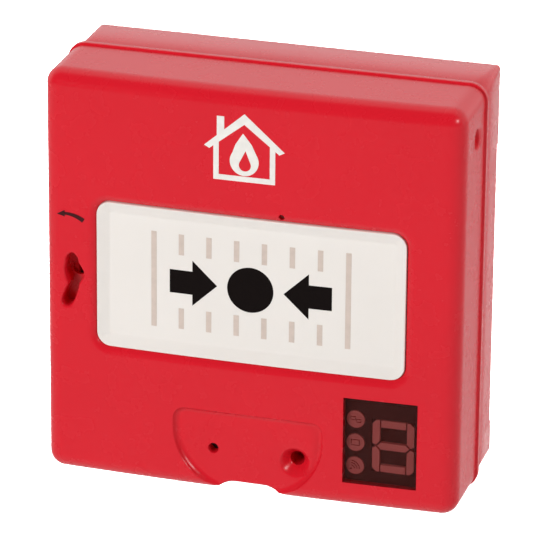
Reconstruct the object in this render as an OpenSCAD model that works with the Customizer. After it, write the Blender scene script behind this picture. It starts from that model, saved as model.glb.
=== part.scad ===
// Manual call point: a wall box with batteries, and a hinged front unit that holds a
// resettable push plate, a status display, the electronics and the service controls.
// X runs to the right, Z up, and Y into the wall: the wall face is y = 0, the front is -Y.

/* [Front cover] */
// Width of the front cover
cover_w = 125; // [122:1:150]
// Height of the front cover
cover_h = 125; // [122:1:150]
// Distance from the wall to the front face at the cover's left and right edges
cover_edge_d = 48.4; // [46:0.1:58]
// How far the middle of the front face stands forward of its two edges
dome_rise = 1.7; // [0.5:0.1:3]
// Rounding of the cover's corners and front edges
edge_r = 4.9; // [3.5:0.1:6]
// Wall of the front cover
cover_wall = 2.4; // [2:0.1:2.8]
// Width of the raised rim along the cover's rear edge
rim_w = 2; // [1:0.1:3]
// Height of that rim above the cover's sides
rim_h = 0.6; // [0.3:0.1:1]

/* [Wall box] */
// Distance from the wall to the box's front rim
box_d = 22; // [21:0.5:26]
// How much narrower and lower than the cover the box is at the wall
box_inset = 3; // [2:0.5:6]
// How much wider and higher the box is at its rim than at the wall
box_flare = 2.2; // [0:0.1:3]
// Rounding of the box's corners at the wall
box_back_r = 1.2; // [0.8:0.1:4]
// Side wall of the box
box_wall = 2.4; // [2:0.1:3]
// Rear wall of the box
box_floor = 2.5; // [2:0.1:4]
// Gap between the box's rim and the cover's rear edge
seam_gap = 0.3; // [0.2:0.05:0.6]
// Distance between the two wall screw slots
wall_slot_pitch = 60; // [50:1:70]
// Width of a wall screw slot
wall_slot_w = 4.5; // [4:0.1:5.5]
// Length of a wall screw slot
wall_slot_len = 9; // [6:0.5:12]

/* [Push plate and window] */
// Width of the window in the cover
window_w = 93.1; // [86:0.1:98]
// Height of the window in the cover
window_h = 45.2; // [40:0.1:50]
// Height of the window's middle above the cover's middle
window_z = 1.5; // [0:0.1:4]
// Corner radius of the window
window_r = 4.3; // [3:0.1:6]
// Width of the bevel round the window
bevel_w = 2.25; // [1.5:0.05:3]
// Depth of the bevel round the window
bevel_d = 1.5; // [1:0.1:1.8]
// Gap between the push plate and the window's edge
plate_gap = 0.25; // [0.2:0.05:0.4]
// Depth of the push plate's face behind the front face
plate_sink = 2.2; // [2:0.1:2.6]
// Depth of the push plate's raised border behind the front face
plate_rim = 1.4; // [1:0.1:1.8]
// How far the push plate travels when it is pressed
plate_travel = 3; // [2:0.5:4]
// Diameter of the black dot on the push plate
dot_d = 13.9; // [10:0.1:16]

/* [Reset key, test and cover screw] */
// Distance of the reset barrel from the cover's left side
key_edge = 9.2; // [9:0.1:11]
// Height of the reset barrel's axis above the cover's middle
key_z = 0.5; // [-4:0.5:6]
// Diameter of the reset barrel
barrel_d = 5.8; // [5:0.1:6]
// Running clearance of turning and sliding pieces, on the radius
run_gap = 0.05; // [0.03:0.01:0.08]
// Height of the test button above the cover's lower side
test_rise = 12.9; // [12.5:0.1:16]
// Place of the test button to the right of the middle
test_x = -10.9; // [-13:0.1:-8]
// Diameter of the test button's stem
test_d = 3; // [2.5:0.1:3.5]
// Travel of the test button
test_travel = 1.2; // [0.8:0.1:1.5]
// Height of the cover screw above the cover's lower side
screw_rise = 11.8; // [11.5:0.1:16]
// Place of the cover screw to the right of the middle
screw_x = 14; // [13:0.1:17]
// Diameter of the cover screw's head
screw_head_d = 4.2; // [3.8:0.1:4.4]
// Diameter of the cover screw's shank
screw_d = 2.9; // [2.5:0.1:3.1]

/* [Status display] */
// Width of the display window
display_w = 22; // [20:0.5:24]
// Height of the display window
display_h = 26.8; // [25:0.1:28]
// Distance of the display's middle from the cover's right side
display_edge = 22.7; // [20.5:0.1:26]
// Height of the display's middle above the cover's lower side
display_rise = 21.4; // [19.5:0.1:22]

/* [Electronics] */
// Distance of the main board's left and right edges from the cover's sides
board_side = 4.5; // [4:0.1:5.5]
// Distance of its upper and lower edges from the cover's top and bottom
board_end = 8.5; // [6.5:0.1:10]
// Thickness of the boards
board_t = 1.6; // [1:0.1:2]
// Diameter of a battery
battery_d = 16.8; // [14:0.1:17]
// Length of a battery
battery_len = 34.5; // [30:0.1:36]

/* [Hidden] */
$fn = 64;
hull_fn = 32;     // facets of a round in a hull
dome_steps = 12;  // flat strips on each half of the wide curve of the front face
eps = 0.01;       // how far a cut runs past a face
bevel_step = 0.2; // how much wider the bevel's foot is than the window
fit_gap = 0.15;   // gap between pieces that are set into each other
air = 0.4;        // gap between pieces that only lie near each other

// the front face's curve, an arc about an upright axis behind the cover
dome_r = (pow(cover_w / 2, 2) + pow(dome_rise, 2)) / (2 * dome_rise);
front_y = -cover_edge_d - dome_rise;
function dome_y(x) = front_y + dome_r - sqrt(dome_r * dome_r - x * x);
seam_y = -box_d - seam_gap;

// places measured from the cover's sides
test_z = -cover_h / 2 + test_rise;
screw_z = -cover_h / 2 + screw_rise;
display_x = cover_w / 2 - display_edge;
display_z = -cover_h / 2 + display_rise;
scoop_rise = 25.7;
scoop_top_z = -cover_h / 2 + scoop_rise;
box_back_w = cover_w - box_inset;
box_back_h = cover_h - box_inset;

// hinge of the front unit, just above the box's upper front edge
hinge_y = -box_d - seam_gap / 2;
box_rim_h = box_back_h + box_flare;
box_rim_w = box_back_w + box_flare;
hinge_z = box_rim_h / 2 + 0.3;

// the push plate's flange runs behind the cover, inside the carrier
tray_border = 2;
flange_lap = 1.2;
flange_sink = cover_wall + 0.3;
flange_t = 1.6;
flange_w = window_w + 2 * flange_lap;
flange_h = window_h + 2 * flange_lap;
carrier_wall = 1.4;
carrier_w = flange_w + 2 * air + 2 * carrier_wall;
carrier_h = flange_h + 2 * air + 2 * carrier_wall;
carrier_floor_t = 1.2;
carrier_floor_y = dome_y(flange_w / 2) + flange_sink + flange_t + plate_travel + 0.3;
carrier_back_y = carrier_floor_y + carrier_floor_t;
carrier_front_y = dome_y(carrier_w / 2) + cover_wall + 0.1;
carrier_ear = 7;
carrier_ear_x = carrier_w / 2 - 26;
carrier_ear_z = carrier_h / 2 + carrier_ear / 2;

// main board and what stands on it
board_w = cover_w - 2 * board_side;
board_h = cover_h - 2 * board_end;
comp_h = 4;
board_back_y = seam_y - comp_h - 1;
board_front_y = board_back_y - board_t;
board_screw_x = board_w / 2 - 3.5;
board_screw_z = board_h / 2 - 4;
post_d = 6;
small_screw_d = 2.2;
small_head_d = 4;
small_head_h = 1.6;
pilot_gap = 0.05;

// reset barrel
key_x = -cover_w / 2 + key_edge;
barrel_front_y = carrier_floor_y;
cam_t = 2;
cam_gap = 2.9;  // between the cam and the main board
cam_y = board_front_y - cam_gap - cam_t;
cam_len = 6.5;
key_arm_w = 4.4 - key_x - carrier_w / 2 + 7.8;  // from beside the barrel to inside the carrier

// the post on the push plate and the switch that it works
post_z = window_z - 13;
plunger_d = 4;
plunger_end_y = carrier_back_y + 1;
lever_pin_d = 1;
lever_t = 0.4;
lever_len = 11;
lever_w = 4;
lever_gap = 0.15;
lever_rise = 1.8;
lever_pivot_z = post_z - lever_len;
lever_pivot_y = plunger_end_y + lever_gap + lever_t / 2 + lever_rise;
switch_front_y = lever_pivot_y + 2.2;
switch_w = 6;

// finger recess under the window
scoop_depth = 2;
scoop_top_w = 46;
scoop_side_rise = 19;  // where its sides start to curve in, above the cover's lower side
scoop_sag = 20.5;      // how far the curve of the sides drops
scoop_pad_y = front_y + 7;
arch_rise = 2.8;
arch_w = 24;
arch_r = arch_w * arch_w / (8 * arch_rise) + arch_rise / 2;
arch_z = -cover_h / 2 - arch_r + arch_rise;
arch_end_y = front_y + 16;

test_sink = 3.6;  // how deep the test button lies in its hole

// display stack, from the lens back to its board
lens_t = 1.5;
mask_back_y = front_y + 8;
glyph_t = 1.2;
segment_w = 2.1;
digit_x = display_x + 3.5;
digit_z = display_z - 1.5;
digit_w = 12.5;
digit_h = 16.2;
digit_slit = 0.5;
digit_cut = 1.2;
icon_x = display_x - 7.85;
icon_z = display_z - 1.3;
icon_d = 5.4;
icon_pitch = 7.3;

// cover screw, sunk in a tube that ends behind the main board
screw_tube_d = 7.6;
screw_tube_end_y = board_back_y + 1;
screw_seat_y = screw_tube_end_y - 3;
screw_head_h = 3;
screw_tip_y = -box_d + 5.5;
insert_d = 5.2;
insert_len = 7;
insert_gap = 0.3;
boss_d = 8.4;
boss_front_y = -box_d + 2;

// batteries side by side along X, in the upper half of the box
battery_pitch = battery_d + 2;
battery_y = -box_floor - 1.2 - battery_d / 2;
battery_z0 = 17;
cradle_in_w = battery_len + 4;
cradle_wall = 1.6;

// magnet that tells the board whether the front unit is shut
magnet_d = 5;
magnet_x = -screw_x;
magnet_z = screw_z + 16;

film_t = 0.1;     // thickness of the print on the cover
symbol_t = 0.3;   // depth of the push plate's inlaid symbols
bar_pitch = 8.35;
bar_w = 1.6;
bar_len = 6.4;
bar_inner = 8.3;
bar_outer_half = 14.8;

cover_red = [0.86, 0.16, 0.19];
white = [0.93, 0.92, 0.90];
black = [0.07, 0.07, 0.08];
steel = [0.75, 0.76, 0.78];
brass = [0.80, 0.64, 0.32];
board_green = [0.08, 0.32, 0.20];

// ---- outlines ----

// a rectangle with round corners, about its middle
module round_rect(w, h, r, fn = $fn) {
    square([w - 2 * r, h], center = true);
    square([w, h - 2 * r], center = true);
    for (sx = [-1, 1], sz = [-1, 1])
        translate([sx * (w / 2 - r), sz * (h / 2 - r)]) circle(r, $fn = fn);
}

// an outline in X and Z, carried from one depth to another, y0 < y1
module along_y(y0, y1) {
    translate([0, y1, 0]) rotate([90, 0, 0]) linear_extrude(y1 - y0) children();
}

// a round bar along Y
module rod_y(x, z, d, y0, y1) {
    translate([x, y1, z]) rotate([90, 0, 0]) cylinder(d = d, h = y1 - y0);
}

// what lies between two depths behind the curved front face, in narrow upright strips
module behind_dome(near, far) {
    reach = cover_w / 2 + 1;
    xs = [for (i = [-dome_steps:dome_steps]) reach * i / dome_steps];
    front = [for (x = xs) [x, dome_y(x) + near]];
    rear = [for (x = xs) [-x, dome_y(x) + far]];
    translate([0, 0, -cover_h]) linear_extrude(2 * cover_h) polygon(concat(front, rear));
}

// ---- front cover ----

// the cover's rounded, gently domed block
module cover_block() {
    steps = 4;
    reach = cover_w / 2 - edge_r;
    hull() {
        for (i = [-steps:steps], sz = [-1, 1]) {
            x = reach * i / steps;
            translate([x, dome_y(x) + edge_r, sz * (cover_h / 2 - edge_r)])
                sphere(r = edge_r, $fn = hull_fn);
        }
        along_y(seam_y - 1, seam_y) round_rect(cover_w, cover_h, edge_r, hull_fn);
    }
}

// the hollow of the cover, narrower at its front to leave stock behind the rounded edges
module cover_hollow() {
    step = 1.5;
    w = cover_w - 2 * cover_wall;
    h = cover_h - 2 * cover_wall;
    along_y(-cover_edge_d + cover_wall + step, seam_y + 5) round_rect(w, h, edge_r - cover_wall);
    intersection() {
        behind_dome(cover_wall, cover_wall + 3 * step);
        along_y(front_y, front_y + 10) round_rect(w - 2 * step, h - 2 * step, edge_r - cover_wall);
    }
}

// the finger recess's outline: straight above, its sides a quarter of an ellipse each
module scoop_outline(grow) {
    corner = 4;
    bow = [for (a = [0:6:78]) [
        scoop_top_w / 2 * cos(a) + grow,
        -cover_h / 2 + scoop_side_rise - scoop_sag * sin(a)]];
    top = [for (a = [90:-15:0]) [
        scoop_top_w / 2 - corner + (corner + grow) * cos(a),
        scoop_top_z - corner + (corner + grow) * sin(a)]];
    right = concat(top, bow);
    left = [for (i = [len(right) - 1:-1:0]) [-right[i][0], right[i][1]]];
    polygon(concat(right, left));
}

// the keyhole: a round middle, a short lobe above and a slanted slot below
module keyhole_outline() {
    circle(d = 6);
    hull() {
        circle(d = 4);
        translate([-0.7, 4.1]) circle(d = 3.8);
    }
    hull() {
        circle(d = 4);
        translate([-2, -9.2]) circle(d = 3.4);
    }
}

module front_cover() {
    screw_bore = screw_head_d + 0.2;
    color(cover_red) difference() {
        union() {
            difference() {
                union() {
                    cover_block();
                    along_y(seam_y - rim_w, seam_y)
                        round_rect(cover_w + 2 * rim_h, cover_h + 2 * rim_h, edge_r + rim_h);
                }
                cover_hollow();
            }
            scoop_backing();
            arch_backing();
            for (sx = [-1, 1], sz = [-1, 1])
                rod_y(sx * board_screw_x, sz * board_screw_z, post_d,
                    dome_y(board_screw_x) + cover_wall - 0.5, board_front_y - fit_gap / 2);
            for (sx = [-1, 1], sz = [-1, 1])
                rod_y(sx * carrier_ear_x, window_z + sz * carrier_ear_z, post_d - 1,
                    dome_y(carrier_ear_x) + cover_wall - 0.5, carrier_floor_y - fit_gap / 2);
            rod_y(screw_x, screw_z, screw_tube_d, front_y + scoop_depth + 1, screw_tube_end_y);
            hinge_tabs();
        }
        window_cut();
        scoop_cut();
        along_y(dome_y(key_x) - 1, front_y + 12) translate([key_x, key_z]) keyhole_outline();
        along_y(front_y - 1, mask_back_y + 8)
            translate([display_x, display_z]) square([display_w, display_h], center = true);
        rod_y(test_x, test_z, test_d + 2 * run_gap, front_y, scoop_pad_y + 1);
        rod_y(screw_x, screw_z, screw_bore, front_y, screw_seat_y);
        rod_y(screw_x, screw_z, screw_d + 2 * run_gap, screw_seat_y - 1, screw_tube_end_y + 1);
        screw_funnel();
        rod_y(9.7, window_z + window_h / 2 + 1.6, 1.8, front_y, front_y + cover_wall + 1);
        for (sx = [-1, 1], sz = [-1, 1])
            rod_y(sx * board_screw_x, sz * board_screw_z, small_screw_d + 2 * pilot_gap,
                board_front_y - 7, board_front_y);
        for (sx = [-1, 1], sz = [-1, 1])
            rod_y(sx * carrier_ear_x, window_z + sz * carrier_ear_z,
                small_screw_d + 2 * pilot_gap, carrier_floor_y - 4, carrier_floor_y);
        side_notch();
    }
}

// thicker stock behind the finger recess
module scoop_backing() {
    along_y(front_y + 1, scoop_pad_y)
        intersection() {
            scoop_outline(3);
            square([cover_w, cover_h - 2 * cover_wall + 0.4], center = true);
        }
}

module window_cut() {
    along_y(front_y - 1, front_y + 8)
        translate([0, window_z]) round_rect(window_w, window_h, window_r);
    translate([0, 0, window_z]) hull() {
        along_y(front_y - 0.2, front_y - 0.1)
            round_rect(window_w + 2 * bevel_w, window_h + 2 * bevel_w, window_r + bevel_w, hull_fn);
        along_y(front_y + bevel_d, front_y + bevel_d + 0.1)
            round_rect(window_w + bevel_step, window_h + bevel_step, window_r, hull_fn);
    }
}

module scoop_cut() {
    along_y(front_y - 1, front_y + scoop_depth) scoop_outline(0);
    rod_y(0, arch_z, 2 * arch_r, front_y - 1, arch_end_y);
}

// the wall round the finger groove in the cover's underside
module arch_backing() {
    intersection() {
        rod_y(0, arch_z, 2 * (arch_r + cover_wall), front_y + 1, arch_end_y + cover_wall);
        translate([-arch_w, front_y, -cover_h / 2 + 0.4])
            cube([2 * arch_w, arch_end_y + cover_wall - front_y, cover_wall + arch_rise]);
    }
}

// the funnel that leads a screwdriver to the cover screw
module screw_funnel() {
    translate([screw_x, front_y + scoop_depth - 0.2, screw_z - 0.3]) rotate([-90, 0, 0])
        cylinder(d1 = 9.6, d2 = screw_head_d, h = 4);
}

// the pry notch in the cover's right side, near the seam
module side_notch() {
    translate([cover_w / 2 - 1.4, seam_y - 10.9, cover_h / 2 - 13]) rotate([0, 90, 0])
        cylinder(d = 6.2, h = 4);
}

// two tabs that reach under the box's upper rim; their barbs turn down behind its rib
module hinge_tabs() {
    for (sx = [-1, 1]) translate([sx * cover_w / 4, 0, 0]) {
        translate([-5, seam_y - 6, hinge_z - 6.3]) cube([10, 11.5, 2]);
        translate([-5, seam_y + 3.3, hinge_z - 4.5]) cube([10, 2.2, 1.3]);
        translate([-5, seam_y - 6, hinge_z - 6.3]) cube([10, 4, 5.5]);
    }
}

// ---- print on the cover, a thin film on the curved face ----

// a house with a flame in it, kept generic
module pictogram_outline() {
    roof_w = 24;
    roof_h = 10.5;
    line = 1.6;
    wall_x = roof_w / 2 - 2.8;
    foot = -10;
    polygon([[-roof_w / 2, 0], [0, roof_h], [roof_w / 2, 0],
        [roof_w / 2 - line, -line / 2], [0, roof_h - 2 * line], [-roof_w / 2 + line, -line / 2]]);
    translate([-wall_x, foot]) square([line, 11.5]);
    translate([wall_x - line, foot]) square([line, 11.5]);
    translate([-wall_x, foot]) square([2 * wall_x, line]);
    translate([-8.2, 3.2]) square([line + 0.6, 6]);
    flame_outline();
}

// a simple pointed flame
module flame_outline() {
    difference() {
        union() {
            translate([0, -3.9]) circle(d = 8.6);
            polygon([[-4.1, -2.9], [-2.6, 1.2], [-0.4, 4.6], [2.2, 1.4], [4.1, -2.6]]);
        }
        translate([0.2, -5]) circle(d = 3.6);
        polygon([[-1.4, -4.2], [0.4, -0.6], [1.9, -4.4]]);
    }
}

module house_pictogram() {
    color(white) intersection() {
        behind_dome(-film_t, 0);
        along_y(front_y - 1, front_y + 4) translate([-1.4, cover_h / 2 - 17]) pictogram_outline();
    }
}

// the direction in which the key is turned
module turn_arrow_outline() {
    r = 10;
    start = 57;       // where the shaft begins, measured from +X
    stop = 92;        // where the head begins
    tail_w = 1.4;
    neck_w = 0.8;
    head_w = 2;
    head_turn = 14;   // how much of the arc the head takes
    function at(rho, a) = [rho * cos(a), rho * sin(a) - r];
    outer = [for (k = [0:8]) at(r + (tail_w + (neck_w - tail_w) * k / 8) / 2,
        start + (stop - start) * k / 8)];
    inner = [for (k = [8:-1:0]) at(r - (tail_w + (neck_w - tail_w) * k / 8) / 2,
        start + (stop - start) * k / 8)];
    head = [at(r + head_w / 2, stop), at(r, stop + head_turn), at(r - head_w / 2, stop)];
    polygon(concat(outer, head, inner));
}

module turn_arrow() {
    color(black) intersection() {
        behind_dome(-film_t, 0);
        along_y(front_y - 1, front_y + 4) translate([key_x - 2.35, key_z + 18.6]) turn_arrow_outline();
    }
}

// ---- wall box ----

// the box's outside, tapering towards the wall
module box_block(inset, y0, y1) {
    taper = box_flare / 2 / box_d;
    hull() for (y = [y0, y1]) {
        k = -y * taper - inset;
        corner = box_back_r + (edge_r - box_back_r) * min(1, -y / box_d);
        along_y(y - eps, y)
            round_rect(box_back_w + 2 * k, box_back_h + 2 * k, corner, hull_fn);
    }
}

module back_box() {
    rib_in = box_rim_h / 2 - box_wall;
    color(cover_red) difference() {
        union() {
            difference() {
                box_block(0, -box_d, 0);
                box_block(box_wall, -box_d - 1, -box_floor);
            }
            rod_y(screw_x, screw_z, boss_d, boss_front_y, -box_floor + 0.5);
            for (sx = [-1, 1]) translate([sx * cover_w / 4 - 7, -box_d, rib_in - 1])
                cube([14, 1.5, 1.6]);
            magnet_pocket_block();
        }
        for (sx = [-1, 1]) wall_slot(sx * wall_slot_pitch / 2);
        rod_y(screw_x, screw_z, insert_d + 0.04, boss_front_y - 1, boss_front_y + insert_len);
        rod_y(screw_x, screw_z, screw_d + 2 * insert_gap, boss_front_y, boss_front_y + insert_len + 3);
        along_y(-box_d - 1, -box_d + 0.8) gasket_outline(0.05);
        rod_y(magnet_x, magnet_z, magnet_d + 0.2, -box_floor - 6, -box_floor - 1);
        corner_relief();
    }
}

module magnet_pocket_block() {
    rod_y(magnet_x, magnet_z, magnet_d + 3, -box_floor - 5, -box_floor + 0.5);
}

// one slotted screw hole through the rear wall
module wall_slot(x) {
    along_y(-box_floor - 1, 1) translate([x, 0]) {
        square([wall_slot_len - wall_slot_w, wall_slot_w], center = true);
        for (s = [-1, 1]) translate([s * (wall_slot_len - wall_slot_w) / 2, 0])
            circle(d = wall_slot_w);
    }
}

// the shallow step along the right rear edge, below the upper corner
module corner_relief() {
    relief_d = 2.5;
    relief_inset = 0.6;
    relief_top = 37;
    translate([box_back_w / 2 - relief_inset, -relief_d, -box_back_h / 2 + 2 * edge_r])
        cube([3, relief_d + 1, box_back_h / 2 - 2 * edge_r + relief_top]);
}

// a ring on the box's rim
module gasket_outline(grow) {
    ring_w = 1.1;
    mid = box_wall / 2;
    difference() {
        round_rect(box_rim_w - 2 * mid + ring_w + 2 * grow, box_rim_h - 2 * mid + ring_w + 2 * grow,
            edge_r - mid + ring_w / 2 + grow);
        round_rect(box_rim_w - 2 * mid - ring_w - 2 * grow, box_rim_h - 2 * mid - ring_w - 2 * grow,
            edge_r - mid - ring_w / 2 - grow);
    }
}

module seam_gasket() {
    color([0.12, 0.12, 0.13]) along_y(-box_d - seam_gap / 2, -box_d + 0.75) gasket_outline(0);
}

module screw_insert() {
    color(brass) difference() {
        rod_y(screw_x, screw_z, insert_d, boss_front_y, boss_front_y + insert_len - 0.5);
        rod_y(screw_x, screw_z, screw_d + 2 * insert_gap, boss_front_y - 1, boss_front_y + insert_len);
    }
}

module tamper_magnet() {
    color(steel) rod_y(magnet_x, magnet_z, magnet_d, -box_floor - 5, -box_floor - 1.1);
}

// the middle line of each battery
function battery_zs() = [battery_z0, battery_z0 + battery_pitch];

module battery_cradle() {
    half_h = battery_pitch + cradle_wall + 0.5;
    mid_z = battery_z0 + battery_pitch / 2;
    cradle_w = cradle_in_w + 2 * cradle_wall;
    color([0.18, 0.18, 0.19]) difference() {
        translate([-cradle_w / 2, battery_y, mid_z - half_h])
            cube([cradle_w, -box_floor - battery_y - eps, 2 * half_h]);
        for (z = battery_zs()) translate([-cradle_in_w / 2, battery_y, z]) rotate([0, 90, 0])
            cylinder(d = battery_d + 0.6, h = cradle_in_w);
    }
}

module batteries() {
    color([0.85, 0.45, 0.12]) for (z = battery_zs()) {
        translate([-battery_len / 2, battery_y, z]) rotate([0, 90, 0])
            cylinder(d = battery_d, h = battery_len - 1.2);
        translate([battery_len / 2 - 1.2, battery_y, z]) rotate([0, 90, 0])
            cylinder(d = 6, h = 1.2);
    }
}

module battery_contacts() {
    color(steel) for (z = battery_zs(), s = [-1, 1])
        translate([s * (cradle_in_w / 2 - 0.55) - 0.25, battery_y - 5, z - 3.5]) cube([0.5, 9, 7]);
}

// the two sprung pins that feed the board when the front unit is shut
module power_pins() {
    color(brass) for (s = [-1, 1])
        translate([s * 5, -box_floor - eps, battery_z0 - battery_d / 2 - 5.5]) rotate([90, 0, 0]) {
            cylinder(d = 4, h = -battery_y - box_floor + 6);
            cylinder(d = 2, h = -board_back_y - box_floor - 0.3);
        }
}

// ---- push plate ----

module push_plate() {
    color(white) {
        difference() {
            union() {
                intersection() {
                    behind_dome(plate_rim, flange_sink + 0.4);
                    along_y(front_y, front_y + 8) translate([0, window_z])
                        round_rect(window_w - 2 * plate_gap, window_h - 2 * plate_gap,
                            window_r - plate_gap);
                }
                intersection() {
                    behind_dome(flange_sink, flange_sink + flange_t);
                    along_y(front_y, front_y + 12) translate([0, window_z])
                        round_rect(flange_w, flange_h, window_r + flange_lap);
                }
                rod_y(0, post_z, plunger_d, front_y + flange_sink + 0.5, plunger_end_y);
            }
            intersection() {
                behind_dome(0, plate_sink);
                along_y(front_y, front_y + 8) translate([0, window_z])
                    round_rect(window_w - 2 * tray_border, window_h - 2 * tray_border, window_r - 1.5);
            }
            plate_symbol_solid(symbol_t + eps);
            plate_bar_solid(symbol_t + eps);
        }
    }
}

// one arrow that points at the dot from the side s
module arrow_outline(s) {
    polygon([[s * 24.4, 3.6], [s * 17.5, 3.6], [s * 17.5, 7], [s * 10, 0],
        [s * 17.5, -7], [s * 17.5, -3.6], [s * 24.4, -3.6]]);
}

module plate_symbol_solid(t) {
    intersection() {
        behind_dome(plate_sink - eps, plate_sink + t);
        along_y(front_y, front_y + 8) translate([0, window_z]) {
            circle(d = dot_d);
            for (s = [-1, 1]) arrow_outline(s);
        }
    }
}

module plate_symbols() {
    color(black) plate_symbol_solid(symbol_t);
}

module bar_outline() {
    for (s = [-1, 1]) {
        for (i = [0:2], t = [-1, 1])
            translate([s * bar_pitch * (i + 0.5), t * (bar_inner + bar_len / 2)])
                square([bar_w, bar_len], center = true);
        translate([s * bar_pitch * 3.5, 0]) square([bar_w, 2 * bar_outer_half], center = true);
    }
}

module plate_bar_solid(t) {
    intersection() {
        behind_dome(plate_sink - eps, plate_sink + t);
        along_y(front_y, front_y + 8) translate([0, window_z]) bar_outline();
    }
}

module plate_bars() {
    color([0.72, 0.68, 0.63]) plate_bar_solid(symbol_t);
}

// the frame behind the cover in which the push plate slides
module plate_carrier() {
    color([0.25, 0.25, 0.27]) difference() {
        union() {
            along_y(carrier_front_y + 0.4, carrier_back_y) translate([0, window_z])
                round_rect(carrier_w, carrier_h, window_r + 2);
            for (sx = [-1, 1], sz = [-1, 1])
                translate([sx * carrier_ear_x - 4, carrier_floor_y, window_z + sz * carrier_ear_z - 4])
                    cube([8, carrier_floor_t, 8]);
            translate([key_x - 4.4, carrier_back_y, key_z - 6]) cube([key_arm_w, 6, 12]);
            translate([key_x - 4.4, carrier_floor_y, key_z - 6]) cube([8, carrier_floor_t + eps, 12]);
        }
        along_y(front_y, carrier_floor_y) translate([0, window_z])
            round_rect(carrier_w - 2 * carrier_wall, carrier_h - 2 * carrier_wall, window_r + 1);
        rod_y(0, post_z, plunger_d + 1, carrier_floor_y - 1, carrier_back_y + 1);
        rod_y(key_x, key_z, barrel_d + 2 * run_gap, carrier_floor_y - 1, carrier_back_y + 7);
        for (sx = [-1, 1], sz = [-1, 1])
            rod_y(sx * carrier_ear_x, window_z + sz * carrier_ear_z, small_screw_d + 0.4,
                carrier_floor_y - 1, carrier_back_y + 1);
    }
}

// a small pan-head screw, its head towards the wall
module small_screw(x, z, head_y, len) {
    difference() {
        union() {
            rod_y(x, z, small_head_d, head_y, head_y + small_head_h);
            rod_y(x, z, small_screw_d, head_y - len, head_y + 0.2);
        }
        translate([x - 0.35, head_y + small_head_h - 0.7, z - 1.4]) cube([0.7, 1, 2.8]);
        translate([x - 1.4, head_y + small_head_h - 0.7, z - 0.35]) cube([2.8, 1, 0.7]);
    }
}

module carrier_screws() {
    color(steel) for (sx = [-1, 1], sz = [-1, 1])
        small_screw(sx * carrier_ear_x, window_z + sz * carrier_ear_z,
            carrier_back_y, carrier_floor_t + 3.5);
}

module board_screws() {
    color(steel) for (sx = [-1, 1], sz = [-1, 1])
        small_screw(sx * board_screw_x, sz * board_screw_z, board_back_y, board_t + 6);
}

// ---- display ----

module display_lens() {
    color([0.24, 0.10, 0.09, 0.85]) intersection() {
        behind_dome(0, lens_t);
        along_y(front_y - 1, front_y + 8) translate([display_x, display_z])
            square([display_w - 2 * fit_gap, display_h - 2 * fit_gap], center = true);
    }
}

// the digit's upper right quarter and its middle: mitred bars with a slit between them
module digit_quarter() {
    w = digit_w / 2;
    h = digit_h / 2;
    polygon([[w, h - digit_cut], [w, 1.5 * digit_slit], [w - segment_w / 2, digit_slit / 2],
        [w - segment_w, segment_w / 2 + digit_slit], [w - segment_w, h], [w - digit_cut, h]]);
}

module digit_outline() {
    w = digit_w / 2 - segment_w - digit_slit;
    h = digit_h / 2;
    for (sx = [0, 1], sz = [0, 1]) mirror([sx, 0]) mirror([0, sz]) digit_quarter();
    for (s = [-1, 1]) translate([0, s * (h - segment_w / 2)]) square([2 * w, segment_w], center = true);
    polygon([[-w - segment_w / 2, 0], [-w, segment_w / 2], [w, segment_w / 2],
        [w + segment_w / 2, 0], [w, -segment_w / 2], [-w, -segment_w / 2]]);
}

module digit_segments() {
    color([0.55, 0.27, 0.27]) along_y(glyph_y(), glyph_y() + glyph_t)
        translate([digit_x, digit_z]) digit_outline();
}

function glyph_y() = dome_y(display_x + display_w / 2) + lens_t + 0.2;

module status_icons() {
    color([0.55, 0.27, 0.27]) for (k = [-1, 0, 1])
        rod_y(icon_x, icon_z + k * icon_pitch, icon_d, glyph_y(), glyph_y() + glyph_t);
}

module display_mask() {
    color(black) difference() {
        along_y(glyph_y() + 0.1, mask_back_y) translate([display_x, display_z])
            square([display_w - 2 * fit_gap, display_h - 2 * fit_gap], center = true);
        along_y(glyph_y() - 1, glyph_y() + glyph_t + 0.1) translate([digit_x, digit_z])
            square([digit_w + 0.6, digit_h + 0.6], center = true);
        for (k = [-1, 0, 1]) rod_y(icon_x, icon_z + k * icon_pitch, icon_d + 0.4,
            glyph_y() - 1, glyph_y() + glyph_t + 0.1);
    }
}

module display_board() {
    color(board_green) translate([display_x - display_w / 2 + 1, mask_back_y + 0.1,
        display_z - display_h / 2 + 1]) cube([display_w - 2, board_t, display_h - 2]);
}

module display_header() {
    pins = 6;
    pitch = 2.54;
    for (i = [0:pins - 1]) color(brass)
        translate([display_x + (i - (pins - 1) / 2) * pitch - 0.32, mask_back_y + 0.1 + board_t + eps,
            display_z - 8.4]) cube([0.64, board_front_y - mask_back_y - board_t - 0.2, 0.64]);
}

// ---- electronics ----

module main_board() {
    color(board_green) difference() {
        translate([-board_w / 2, board_front_y, -board_h / 2]) cube([board_w, board_t, board_h]);
        for (sx = [-1, 1], sz = [-1, 1])
            rod_y(sx * board_screw_x, sz * board_screw_z, small_screw_d + 0.4,
                board_front_y - 1, board_back_y + 1);
        rod_y(screw_x, screw_z, screw_tube_d + 1, board_front_y - 1, board_back_y + 1);
    }
}

// a block on the wall side of the board
module rear_part(x, z, w, h, t) {
    translate([x - w / 2, board_back_y + eps, z - h / 2]) cube([w, t, h]);
}

module radio_module() {
    color(steel) rear_part(-30, 26, 20, 26, 3);
}

module antenna() {
    wire = 1.2;
    z1 = board_h / 2 - 4;
    color(brass) {
        translate([-42, board_back_y + 2, 10]) cylinder(d = wire, h = z1 - 10);
        translate([-42, board_back_y + 2, z1]) sphere(d = wire);
        translate([-42, board_back_y + 2, z1]) rotate([0, 90, 0]) cylinder(d = wire, h = 30);
        translate([-42, board_back_y + 2, 10]) sphere(d = wire);
        rod_y(-42, 10, wire, board_back_y + eps, board_back_y + 2);
    }
}

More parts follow.
